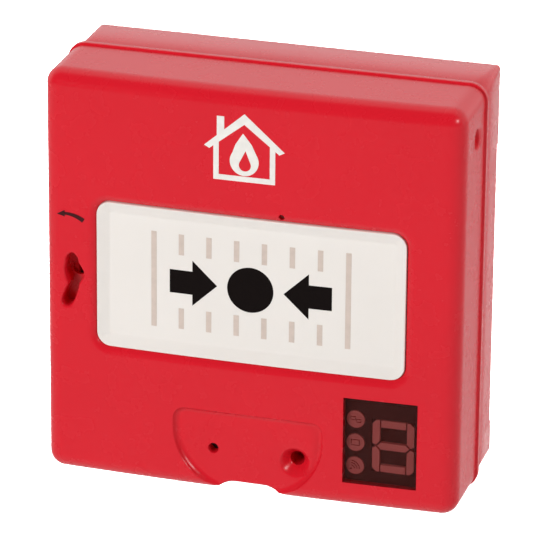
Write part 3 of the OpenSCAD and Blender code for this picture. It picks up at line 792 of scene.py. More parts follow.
class Skin:
    """A curved face over an outline in X and Z, with openings, as the front of a solid."""

    def __init__(self, outline: Outline, openings: Sequence[Outline],
                 guides: Sequence[Outline], pitch: float,
                 depth: Callable[[np.ndarray, np.ndarray], np.ndarray]) -> None:
        """Makes the triangles.

        Args:
            outline: The skin's border.
            openings: Outlines left open.
            guides: Outlines that the mesh follows, where the face bends.
            pitch: Spacing of the points between them.
            depth: Gives y from x and z.
        """
        self.shell = Shell()
        loops = [outline, *openings, *guides]
        coords: list[Vector] = []
        edges: list[tuple[int, int]] = []
        for loop in loops:
            start = len(coords)
            coords += [Vector(p) for p in loop]
            edges += [(start + i, start + (i + 1) % len(loop)) for i in range(len(loop))]
        fixed = np.array([tuple(v) for v in coords])
        low, high = fixed.min(axis=0), fixed.max(axis=0)
        for x in np.arange(low[0] + pitch / 2, high[0], pitch):
            for k, z in enumerate(np.arange(low[1] + pitch / 2, high[1], pitch)):
                spot = np.array((x, z + (k % 2) * 0.1))
                if np.hypot(*(fixed - spot).T).min() > pitch * 0.4:
                    coords.append(Vector(spot))
        made = delaunay_2d_cdt(coords, edges, [], 0, MERGE, False)
        flat = np.array([tuple(v) for v in made[0]])
        tris = np.array([tuple(f) for f in made[2]])
        centre = flat[tris].mean(axis=1)
        keep = inside(centre[:, 0], centre[:, 1], outline)
        for opening in openings:
            keep &= ~inside(centre[:, 0], centre[:, 1], opening)
        tris = tris[keep]
        used = np.unique(tris)
        place = np.zeros(len(flat), int)
        place[used] = np.arange(len(used))
        flat, tris = flat[used], place[tris]
        y = depth(flat[:, 0], flat[:, 1])
        self.shell.points = [(float(p[0]), float(d), float(p[1])) for p, d in zip(flat, y)]
        self.shell.faces = [tuple(int(i) for i in t) for t in tris]
        self.borders = self._borders(tris)

    @staticmethod
    def _borders(tris: np.ndarray) -> list[list[int]]:
        """Chains of edges used once, in the triangles' own direction.

        Args:
            tris: The triangles.

        Returns:
            One list of points for each closed border, the longest first.
        """
        sides = {(int(a), int(b)) for t in tris for a, b in zip(t, np.roll(t, -1))}
        after = {a: b for a, b in sides if (b, a) not in sides}
        chains: list[list[int]] = []
        while after:
            start, point = next(iter(after.items()))
            chain = [start]
            del after[start]
            while point != start:
                chain.append(point)
                point = after.pop(point)
            chains.append(chain)
        return sorted(chains, key=len, reverse=True)

    def flat(self, ring: Sequence[int]) -> Outline:
        """X and Z of a ring's points."""
        return [(self.shell.points[i][0], self.shell.points[i][2]) for i in ring]

    def border_round(self, centre: Point) -> list[int]:
        """Finds the border whose middle lies nearest a point.

        Args:
            centre: The point.

        Returns:
            The border's points.
        """
        def gap(chain: list[int]) -> float:
            """Distance of a border's middle from the point."""
            pts = np.array(self.flat(chain))
            low, high = pts.min(axis=0), pts.max(axis=0)
            return float(np.hypot(*((low + high) / 2 - np.array(centre))))
        return min(self.borders, key=gap)


def true_normals(piece: bpy.types.Object, front: float,
                 depth: Callable[[np.ndarray, np.ndarray], np.ndarray]) -> None:
    """Gives the curved face the exact normals of its shape.

    Args:
        piece: The piece whose front is the curved face.
        front: The face lies in front of this depth.
        depth: Gives the face's y from x and z.
    """
    mesh = piece.data
    co = np.empty(len(mesh.vertices) * 3)
    mesh.vertices.foreach_get("co", co)
    co = co.reshape(-1, 3) / MM
    step = 0.02
    slopes = []
    for dx, dz in ((step, 0), (0, step)):
        slopes.append((depth(co[:, 0] + dx, co[:, 2] + dz)
                       - depth(co[:, 0] - dx, co[:, 2] - dz)) / (2 * step))
    exact = np.stack([slopes[0], -np.ones(len(co)), slopes[1]], axis=1)
    exact /= np.linalg.norm(exact, axis=1)[:, None]
    on_face = (np.abs(depth(co[:, 0], co[:, 2]) - co[:, 1]) < 0.01) & (co[:, 1] < front)
    count = len(mesh.loops)
    owner, normal = np.empty(count, int), np.empty(count * 3)
    mesh.loops.foreach_get("vertex_index", owner)
    mesh.corner_normals.foreach_get("vector", normal)
    normal = normal.reshape(-1, 3)
    flat = np.empty(len(mesh.polygons) * 3)
    mesh.polygons.foreach_get("normal", flat)
    starts, sizes = np.empty(len(mesh.polygons), int), np.empty(len(mesh.polygons), int)
    mesh.polygons.foreach_get("loop_start", starts)
    mesh.polygons.foreach_get("loop_total", sizes)
    face_of = np.repeat(np.arange(len(sizes)), sizes)
    faces_front = (flat.reshape(-1, 3)[face_of, 1] < -0.05) | (sizes[face_of] == 3)
    turned = on_face[owner] & faces_front
    normal[turned] = exact[owner[turned]]
    mesh.normals_split_custom_set([tuple(n) for n in normal])


class Join(Enum):
    """What a second solid does to the first."""

    CUT = "DIFFERENCE"
    ADD = "UNION"


def combine(piece: bpy.types.Object, tool: bpy.types.Object, how: Join) -> None:
    """Cuts or adds one solid and removes it.

    Args:
        piece: The solid that stays.
        tool: The other solid.
        how: Cut or add.
    """
    modifier = piece.modifiers.new("work", "BOOLEAN")
    modifier.operation, modifier.object, modifier.solver = how.value, tool, "EXACT"
    settle(piece)
    bpy.data.objects.remove(tool)


def carve(piece: bpy.types.Object, tool: Shell) -> None:
    """Cuts a shell's solid out of a piece."""
    combine(piece, tool.make("tool", smooth=False), Join.CUT)


def settle(piece: bpy.types.Object) -> None:
    """Turns a piece's modifiers into its plain mesh.

    Args:
        piece: The piece.
    """
    graph = bpy.context.evaluated_depsgraph_get()
    mesh = bpy.data.meshes.new_from_object(piece.evaluated_get(graph))
    piece.modifiers.clear()
    piece.data = mesh


class Pattern:
    """A geometry node tree with named sizes that ends in one finished mesh."""

    KINDS = {int: "NodeSocketInt", float: "NodeSocketFloat", bpy.types.Object: "NodeSocketObject"}

    def __init__(self, name: str) -> None:
        """Starts the tree.

        Args:
            name: The tree's name, and the finished piece's.
        """
        self.name = name
        self.tree = bpy.data.node_groups.new(name, "GeometryNodeTree")
        for way in ("INPUT", "OUTPUT"):
            self.tree.interface.new_socket(name="Geometry", in_out=way,
                                           socket_type="NodeSocketGeometry")
        self.inlet = self.tree.nodes.new("NodeGroupInput")
        self.values: dict[str, object] = {}

    def size(self, name: str, value: float | int | bpy.types.Object) -> bpy.types.NodeSocket:
        """Adds a named input with its value and returns its socket.

        Args:
            name: The input's name.
            value: Its value.

        Returns:
            Its socket.
        """
        self.tree.interface.new_socket(name=name, in_out="INPUT",
                                       socket_type=self.KINDS[type(value)])
        self.values[name] = value
        return self.inlet.outputs[name]

    def add(self, kind: str, inputs: dict[str | int, object] | None = None,
            output: str | int = 0, **settings: object) -> bpy.types.NodeSocket:
        """Adds one node.

        Args:
            kind: The node's type, without its common prefix.
            inputs: Sockets or values for its inputs.
            output: The output wanted.
            settings: Properties of the node.

        Returns:
            The wanted output socket.
        """
        prefix = "" if kind.startswith("ShaderNode") or kind.startswith("FunctionNode") \
            else "GeometryNode"
        node = self.tree.nodes.new(prefix + kind)
        for key, value in settings.items():
            setattr(node, key, value)
        for key, value in (inputs or {}).items():
            if isinstance(value, list):
                for one in value:
                    self.tree.links.new(one, node.inputs[key])
            elif isinstance(value, bpy.types.NodeSocket):
                self.tree.links.new(value, node.inputs[key])
            else:
                node.inputs[key].default_value = value
        return node.outputs[output]

    def sum(self, a: object, b: object, operation: str = "ADD") -> bpy.types.NodeSocket:
        """Adds a maths node for two values."""
        return self.add("ShaderNodeMath", {0: a, 1: b}, operation=operation)

    def make(self, shape: bpy.types.NodeSocket, material: bpy.types.Material,
             points: Sequence[Sequence[float]] = ()) -> bpy.types.Object:
        """Ends the tree and turns its result into a plain mesh.

        Args:
            shape: The finished geometry.
            material: The piece's material.
            points: Points in millimetres that the tree starts from.

        Returns:
            The piece.
        """
        whole = self.add("RealizeInstances", {0: shape})
        dressed = self.add("SetMaterial", {"Geometry": whole, "Material": material})
        outlet = self.tree.nodes.new("NodeGroupOutput")
        self.tree.links.new(dressed, outlet.inputs[0])
        mesh = bpy.data.meshes.new(self.name)
        mesh.from_pydata([tuple(c * MM for c in p) for p in points], [], [])
        piece = bpy.data.objects.new(self.name, mesh)
        modifier = piece.modifiers.new("pattern", "NODES")
        modifier.node_group = self.tree
        for item in self.tree.interface.items_tree:
            if item.in_out == "INPUT" and item.name in self.values:
                modifier[item.identifier] = self.values[item.name]
        bpy.context.scene.collection.objects.link(piece)
        settle(piece)
        soften(piece, 35)
        return piece


def at_points(name: str, template: bpy.types.Object, points: Sequence[Sequence[float]],
              material: bpy.types.Material) -> bpy.types.Object:
    """Sets a template out at points, as one piece.

    Args:
        name: The piece's name.
        template: The shape about the origin; it is removed afterwards.
        points: Where each copy goes, in millimetres.
        material: The piece's material.

    Returns:
        The piece.
    """
    pattern = Pattern(name)
    shape = pattern.add("ObjectInfo", {"Object": pattern.size("Template", template)}, "Geometry")
    set_out = pattern.add("InstanceOnPoints", {"Points": pattern.inlet.outputs[0],
                                               "Instance": shape})
    piece = pattern.make(set_out, material, points)
    bpy.data.objects.remove(template)
    return piece


def pierced(name: str, parts: Sequence[tuple[Outline, Sequence[Outline]]], front: float,
            back: float, pitch: float = 50.0) -> bpy.types.Object:
    """Flat plates with holes through them, as one mesh.

    Args:
        name: The piece's name.
        parts: Each plate's outline and its holes.
        front: Depth of the front face.
        back: Depth of the rear face.
        pitch: Spacing of the mesh's inner points.

    Returns:
        The piece.
    """
    whole = Shell()
    for outline, holes in parts:
        skin = Skin(outline, holes, [], pitch, lambda x, z: np.full(len(x), front))
        start, count = len(whole.points), len(skin.shell.points)
        whole.points += skin.shell.points
        whole.points += [(x, back, z) for x, _, z in skin.shell.points]
        for face in skin.shell.faces:
            whole.faces.append(tuple(start + i for i in face))
            whole.faces.append(tuple(start + count + i for i in reversed(face)))
        for border in skin.borders:
            near = [start + i for i in border]
            whole.bridge(near, [i + count for i in near])
    return whole.make(name, 30)


# ---- sub-assemblies ----


@dataclass
class CoverShape:
    """Sizes that the front unit's pieces share."""

    width: float = 125.0
    height: float = 125.0
    side_depth: float = 48.4
    rise: float = 1.7
    edge_radius: float = 4.9
    wall: float = 2.4
    seam_y: float = -22.3
    window: tuple[float, float] = (93.1, 45.2)
    window_z: float = 1.5
    window_radius: float = 4.3
    key: Point = (-53.3, 0.5)
    test: Point = (-10.9, -49.6)
    screw: Point = (14.0, -50.7)
    magnet_rise: float = 16.0
    display: Point = (39.8, -41.1)
    display_size: tuple[float, float] = (22.0, 26.8)
    board_screw: Point = (54.5, 50.0)
    carrier_screw: Point = (23.55, 29.1)
    hinge_reach: float = 31.25

    @property
    def board_spots(self) -> Outline:
        """Places of the main board's screws."""
        return corners(self.board_screw)

    @property
    def carrier_spots(self) -> Outline:
        """Places of the plate carrier's screws, round the window's middle."""
        return corners(self.carrier_screw, self.window_z)

    @property
    def front_y(self) -> float:
        """Depth of the face's middle."""
        return -self.side_depth - self.rise

    @property
    def bow(self) -> float:
        """Radius of the face's wide curve."""
        return ((self.width / 2) ** 2 + self.rise ** 2) / (2 * self.rise)

    def dome(self, x: np.ndarray | float) -> np.ndarray | float:
        """Depth of the curved face at a distance from the middle."""
        return self.front_y + self.bow - np.sqrt(self.bow ** 2 - np.square(x))


@dataclass
class FrontCover:
    """The red front cover: domed face, window with its bevel, finger recess and openings."""

    shape: CoverShape
    bevel: tuple[float, float] = (2.6, 1.5)
    key_edge: float = 0.8
    key_floor: float = -42.9
    recess_depth: float = 2.0
    recess_top_z: float = -36.8
    recess_half: float = 23.0
    recess_side: tuple[float, float] = (19.0, 20.5)
    recess_slope: float = 2.2
    recess_corner: float = 4.0
    groove_half: float = 12.3
    groove_rise: float = 2.8
    groove_run: float = 7.5
    groove_end_y: float = -34.1
    groove_edge: float = 0.7
    dish_radius: float = 4.8
    dish_drop: float = 0.3
    dish_depth: float = 3.0
    bore: float = 2.2
    test_radius: float = 1.55
    small_hole: Point = (9.7, 25.7)
    small_radius: float = 0.9
    window_back: float = -42.1
    display_back: float = -40.0
    test_back: float = -42.4
    bore_ends: tuple[float, float] = (-29.3, -25.8)
    bore_step: float = 0.7
    small_back: float = -46.0
    rim: tuple[float, float] = (2.0, 0.6)
    inner_round: float = 1.5
    board_post: tuple[float, float] = (3.0, -28.975)
    carrier_post: tuple[float, float] = (2.5, -41.583)
    pilot_radius: float = 1.15
    board_pilot: tuple[float, float] = (-35.9, -28.5)
    carrier_pilot: tuple[float, float] = (-45.4, -41.0)
    recess_stock: tuple[float, float] = (3.0, -43.1)
    screw_tube: tuple[float, float] = (3.8, -26.3)
    key_stock: tuple[float, float, float] = (3.5, 12.6, 8.2)
    key_wall: float = 1.1
    key_bore: float = 2.3
    face_back: float = -43.0
    tab_half: float = 5.0
    tab_z: float = 62.4
    notch_back: float = 10.9
    notch_drop: float = 13.0
    notch_oval: float = 0.86

    def key_outline(self) -> Outline:
        """The keyhole's outline, a lobed slot."""
        knots = ((-0.7, 6.4), (-2.3, 5.0), (-2.6, 3.2), (-2.9, 1.2), (-2.5, -1.2), (-1.9, -3.2),
                 (-2.7, -5.2), (-3.6, -7.6), (-3.7, -9.5), (-2.5, -10.4), (-1.1, -9.8),
                 (0.1, -7.8), (1.0, -5.2), (1.6, -2.8), (2.6, -1.2), (3.0, 0.4), (2.3, 2.0),
                 (1.3, 3.6), (0.9, 5.2))
        return [(x + self.shape.key[0], z + self.shape.key[1]) for x, z in smooth_loop(knots, 5)]

    def recess_outline(self, grow: float = 0.0) -> Outline:
        """The finger recess: straight above, its sides a quarter of an ellipse each.

        Args:
            grow: How far it lies outside the real edge.

        Returns:
            The outline.
        """
        half, corner = self.recess_half, self.recess_corner
        rise, sag = self.recess_side
        low, foot = self.recess_top_z - corner, -self.shape.height / 2
        right = [(half - corner + (corner + grow) * math.cos(math.radians(a)),
                  low + (corner + grow) * math.sin(math.radians(a))) for a in range(90, -1, -9)]
        right += [(half * math.cos(math.radians(a)) + grow,
                   foot + rise - sag * math.sin(math.radians(a))) for a in range(0, 67, 6)]
        right.append((right[-1][0] - 0.5, foot - 8))
        return list(reversed(spaced(right + [(-x, z) for x, z in reversed(right)], 1.6)))

    def groove_z(self, x: np.ndarray | float) -> np.ndarray | float:
        """Height of the groove's edge over the cover's underside."""
        share = ramp((self.groove_half - np.abs(x)) / self.groove_run)
        return -self.shape.height / 2 + self.groove_rise * share

    def border(self) -> Outline:
        """The face's border, with the groove let into its lower edge."""
        s = self.shape
        whole = round_rect(s.width, s.height, s.edge_radius, steps=12, pitch=1.6)
        kept = [(x, z) for x, z in whole
                if not (abs(x) < self.groove_half + 0.4 and z < -s.height / 2 + 0.1)]
        turn = next(i for i, (x, z) in enumerate(kept)
                    if x > 0 and z < -s.height / 2 + 0.1 and kept[i - 1][0] < 0)
        xs = np.linspace(-self.groove_half, self.groove_half, 33)
        edge = [(float(x), float(self.groove_z(x))) for x in xs]
        return kept[:turn] + edge + kept[turn:]

    def dish_share(self, x: np.ndarray, z: np.ndarray) -> np.ndarray:
        """Place between the screw bore, 0, and the rim of the dish round it, 1.

        Args:
            x: Distances to the right.
            z: Heights.

        Returns:
            The shares.
        """
        px, pz = x - self.shape.screw[0], z - self.shape.screw[1]
        grow = self.dish_radius - self.bore
        a = self.dish_drop ** 2 - grow ** 2
        b = pz * self.dish_drop * 2 - 2 * self.bore * grow
        c = px ** 2 + pz ** 2 - self.bore ** 2
        root = np.sqrt(np.maximum(b * b - 4 * a * c, 0))
        return np.clip((-b - root) / (2 * a), 0, 1)

    def depth(self, x: np.ndarray, z: np.ndarray) -> np.ndarray:
        """The face's depth, with its rounded edges, bevel, recess and dish.

        Args:
            x: Distances to the right.
            z: Heights.

        Returns:
            The y values.
        """
        s = self.shape
        outer = -rect_distance(x, z, s.width, s.height, s.edge_radius)
        rounded = fillet(np.maximum(outer, 0), s.edge_radius)
        recess = -outline_distance(x, z, self.recess_outline())
        bowl = 1 - (1 - np.clip(recess / self.recess_slope, 0, 1)) ** 2.2
        sunk = (self.recess_depth - (s.dome(x) - s.front_y)) * bowl * ramp(recess / 0.5)
        fall = higher(rounded, sunk, 0.5)
        fall = np.where(sunk > 0.001, fall, rounded)
        over = (z - self.groove_z(x))
        near = (np.abs(x) < self.groove_half + 0.5) & (z < -s.height / 2 + 8)
        fall = fall + np.where(near, fillet(np.maximum(over, 0), self.groove_edge)
                               * np.clip((over + s.height) , 0, 1)
                               * ramp((self.groove_half - np.abs(x)) / 3), 0)
        gap = rect_distance(x, z - s.window_z, s.window[0], s.window[1], s.window_radius)
        width, drop = self.bevel
        slope = np.clip(1 - gap / width, 0, 1)
        fall = fall + drop * slope ** 2 + np.where(gap < width, fillet(np.maximum(gap, 0), 0.45), 0)
        key = outline_distance(x, z, self.key_outline())
        fall = fall + fillet(np.maximum(key, 0), self.key_edge)
        for centre, radius, edge in ((s.test, self.test_radius, 0.25),
                                     (self.small_hole, self.small_radius, 0.15)):
            away = np.hypot(x - centre[0], z - centre[1]) - radius
            fall = fall + fillet(np.maximum(away, 0), edge)
        share = 1 - self.dish_share(x, z)
        return s.dome(x) + fall + self.dish_depth * share ** 1.35

    def guides(self) -> list[Outline]:
        """Outlines along which the face bends."""
        s = self.shape
        made: list[Outline] = []
        for angle in (*range(8, 90, 8), 90):
            inset = s.edge_radius * (1 - math.cos(math.radians(angle)))
            made.append(round_rect(s.width - 2 * inset, s.height - 2 * inset,
                                   s.edge_radius - inset, steps=12, pitch=1.6))
        made.append(round_rect(s.width - 2 * s.edge_radius - 1, s.height - 2 * s.edge_radius - 1,
                               0.5, steps=2, pitch=2))
        for gap in (0.03, 0.09, 0.18, 0.31, 0.45, 0.75, 1.05, 1.35, 1.65, 1.95, 2.25, 2.6, 2.9):
            made.append(round_rect(s.window[0] + 2 * gap, s.window[1] + 2 * gap,
                                   s.window_radius + gap, (0, s.window_z), 10, 1.6))
        for inset in (-0.3, 0, 0.25, 0.5, 0.9, 1.3, 1.7, 2.1, 2.6, 3.1, 3.6, 4.0):
            made.append(self.recess_outline(-inset))
        for gap in (0.05, 0.15, 0.3, 0.5, 0.8, 1.1):
            made.append(grown(self.key_outline(), gap))
        for gap in (0.06, 0.14, 0.25, 0.4):
            made.append(circle(s.test, self.test_radius + gap, 24))
        made.append(circle(self.small_hole, self.small_radius + 0.15, 16))
        for k in range(1, 10):
            share = k / 9
            made.append(circle((s.screw[0], s.screw[1] - self.dish_drop * share),
                               self.bore + (self.dish_radius - self.bore) * share, 32))
        return made

    def openings(self) -> list[tuple[Outline, list[Point]]]:
        """Each opening's outline, and how it goes on behind: steps of (growth, depth)."""
        s = self.shape
        neck, end = self.bore_ends
        display = spaced([(s.display[0] + i * s.display_size[0] / 2,
                           s.display[1] + k * s.display_size[1] / 2)
                          for i, k in ((1, 1), (-1, 1), (-1, -1), (1, -1))], 1.6)
        return [
            (round_rect(*s.window, s.window_radius, (0, s.window_z), 10, 1.6),
             [(0, self.window_back)]),
            (self.key_outline(), [(0, self.key_floor)]),
            (display, [(0, self.display_back)]),
            (circle(s.test, self.test_radius, 24), [(0, self.test_back)]),
            (circle(s.screw, self.bore, 32), [(0, neck), (-self.bore_step, neck),
                                              (-self.bore_step, end)]),
            (circle(self.small_hole, self.small_radius, 16), [(0, self.small_back)]),
        ]

    def outer(self) -> bpy.types.Object:
        """The cover's outside as a closed solid, with blind openings."""
        openings = self.openings()
        skin = Skin(self.border(), [o for o, _ in openings], self.guides(), 2.9, self.depth)
        shell = skin.shell
        for outline, steps in openings:
            pts = np.array(outline)
            ring = skin.border_round(tuple((pts.min(axis=0) + pts.max(axis=0)) / 2))
            # an opening's border runs clockwise, and its growth is towards the solid
            for growth, y in steps:
                flat = skin.flat(ring)
                if growth:
                    flat = list(reversed(grown(list(reversed(flat)), growth)))
                ring = shell.carry(ring, flat, [y])
            shell.cap(ring, False)
        self.carry_sides(skin)
        return shell.make("front_cover_shell")

    def carry_sides(self, skin: Skin) -> None:
        """Carries the face's border back to the rear edge, past the groove and the rim.

        Args:
            skin: The face, whose shell takes the sides.
        """
        s, shell = self.shape, skin.shell
        ring = skin.borders[0]
        flat = skin.flat(ring)
        support = shell.ring(flat, [min(shell.points[i][1] + 0.6, self.groove_end_y - 0.1)
                                    for i in ring])
        shell.bridge(ring, support)
        back = shell.carry(support, flat, [self.groove_end_y])
        low = -s.height / 2 + 1e-4
        in_groove = [abs(x) < self.groove_half + 1e-6 and z > low and z < low + 7
                     for x, z in flat]
        count = len(flat)
        first = next(i for i in range(count) if in_groove[i] and not in_groove[i - 1])
        order = [(first + k) % count for k in range(count)]
        arch = [back[i] for i in order if in_groove[i]]
        rest = [back[i] for i in order if not in_groove[i]]
        start, stop = rest[-1], rest[0]
        x0, x1 = shell.points[start][0], shell.points[stop][0]
        along = spaced([(x0, -s.height / 2), (x1, -s.height / 2)], 1.6, closed=False)[1:-1]
        filled = shell.ring(along, self.groove_end_y)
        shell.faces.append((stop, *reversed(arch), start, *filled))
        ring = rest + filled
        rim_w, rim_h = self.rim
        lip = s.seam_y - rim_w
        core = (s.width / 2 - s.edge_radius, s.height / 2 - s.edge_radius)
        for out, y in ((0, lip - 0.9), (0, lip - 0.5), (-0.12, lip - 0.42), (-0.12, lip - 0.2),
                       (0.02, lip - 0.08), (0.42, lip), (0.56, lip + 0.1), (rim_h, lip + 0.3),
                       (rim_h, s.seam_y - 0.25), (0.52, s.seam_y - 0.06), (0.4, s.seam_y)):
            moved: Outline = []
            for i in ring:
                x, _, z = shell.points[i]
                cx, cz = np.clip(x, -core[0], core[0]), np.clip(z, -core[1], core[1])
                reach = math.hypot(x - cx, z - cz)
                scale = (s.edge_radius + out) / reach
                moved.append((float(cx + (x - cx) * scale), float(cz + (z - cz) * scale)))
            back = shell.ring(moved, y)
            shell.bridge(ring, back)
            ring = back
        shell.cap(ring, False)

    def hollow(self) -> bpy.types.Object:
        """What is taken out of the cover, less the posts and stock that stay in it."""
        s = self.shape
        step = self.inner_round
        width, height = s.width - 2 * s.wall, s.height - 2 * s.wall
        radius = s.edge_radius - s.wall
        skin = Skin(round_rect(width - 2 * step, height - 2 * step, radius, pitch=6), [], [], 6.1,
                    lambda x, z: s.dome(x) + s.wall)
        shell, ring = skin.shell, skin.borders[0]
        flat = np.array(skin.flat(ring))
        core = np.array((width / 2 - step - radius, height / 2 - step - radius))
        held = np.clip(flat, -core, core)
        out = flat + (flat - held) / np.linalg.norm(flat - held, axis=1)[:, None] * step
        wide = [tuple(map(float, p)) for p in out]
        ring = shell.carry(ring, wide, (-s.side_depth + s.wall + step, s.seam_y + 5))
        shell.cap(ring, False)
        hollow = shell.make("hollow", smooth=False)
        kept = Shell()
        for spots, (post, end) in ((s.board_spots, self.board_post),
                                   (s.carrier_spots, self.carrier_post)):
            for spot in spots:
                kept.extrude(circle(spot, post, 32), s.front_y, end)
        carve(hollow, kept)
        margin, end = self.recess_stock
        pad = [(x, max(z, -height / 2 - 0.2)) for x, z in self.recess_outline(margin)]
        carve(hollow, Shell().extrude(pad, s.front_y, end))
        tube, end = self.screw_tube
        carve(hollow, Shell().extrude(circle(s.screw, tube, 40), s.front_y, end))
        right, below, above = self.key_stock
        carve(hollow, Shell().box((-s.width / 2, s.front_y, s.key[1] - below),
                                  (s.key[0] + right, self.key_floor + self.key_wall,
                                   s.key[1] + above)))
        reach = self.groove_half + s.wall
        xs = np.linspace(-reach, reach, 21)
        over = [(float(x), float(self.groove_z(x * self.groove_half / reach)) + s.wall) for x in xs]
        under = -s.height / 2 + 0.4
        block = [(over[0][0], under), (over[-1][0], under), *reversed(over)]
        carve(hollow, Shell().extrude(block, s.front_y, self.groove_end_y + s.wall))
        return hollow

    def details(self) -> tuple[bpy.types.Object, bpy.types.Object]:
        """The hinge tabs to add, and the notch and pilot holes to cut."""
        s = self.shape
        tabs = Shell()
        for sx in (-1, 1):
            x, z, y = sx * s.hinge_reach, self.tab_z, s.seam_y
            hook = [(y - 6, z - 6.3), (y + 5.5, z - 6.3), (y + 5.5, z - 3.6), (y + 5.1, z - 3.2),
                    (y + 3.7, z - 3.2), (y + 3.3, z - 3.6), (y + 3.3, z - 4.3), (y - 2, z - 4.3),
                    (y - 2, z - 0.8), (y - 6, z - 0.8)]
            start, count = len(tabs.points), len(hook)
            for side in (x - self.tab_half, x + self.tab_half):
                tabs.points += [(side, v, w) for v, w in hook]
            low, high = range(start, start + count), range(start + count, start + 2 * count)
            tabs.bridge(high, low)
            tabs.faces += [tuple(high), tuple(reversed(low))]
        cuts = Shell()
        for spots, pilot in ((s.board_spots, self.board_pilot),
                             (s.carrier_spots, self.carrier_pilot)):
            for spot in spots:
                cuts.extrude(circle(spot, self.pilot_radius, 20), *pilot)
        cuts.extrude(circle(s.key, self.key_bore, 32), self.key_floor - 1, self.key_floor + 2)
        start = len(cuts.points)
        notch = Shell().turn((0, 0), [(2.6, -1.4), (2.85, -1.3), (3.0, -0.4), (3.15, -0.15),
                                      (3.6, 0.06), (3.7, 1)], 32)
        # turned about Y, then laid over so that it cuts into the right side
        middle_y, middle_z = s.seam_y - self.notch_back, s.height / 2 - self.notch_drop
        cuts.points += [(s.width / 2 + y, middle_y + x * self.notch_oval, middle_z + z)
                        for x, y, z in notch.points]
        cuts.faces += [tuple(start + i for i in reversed(f)) for f in notch.faces]
        return tabs.make("tabs", smooth=False), cuts.make("cuts", smooth=False)

    def build(self, shop: Workshop) -> None:
        """Makes the cover and fits it to the front unit.

        Args:
            shop: The finishes.
        """
        cover = self.outer()
        cover.name = "cover_shell"
        combine(cover, self.hollow(), Join.CUT)
        tabs, cuts = self.details()
        combine(cover, tabs, Join.ADD)
        combine(cover, cuts, Join.CUT)
        soften(cover, 30)
        true_normals(cover, self.face_back, self.depth)
        shop.fit(cover, Finish.COVER_RED, "front_unit", "front_cover")


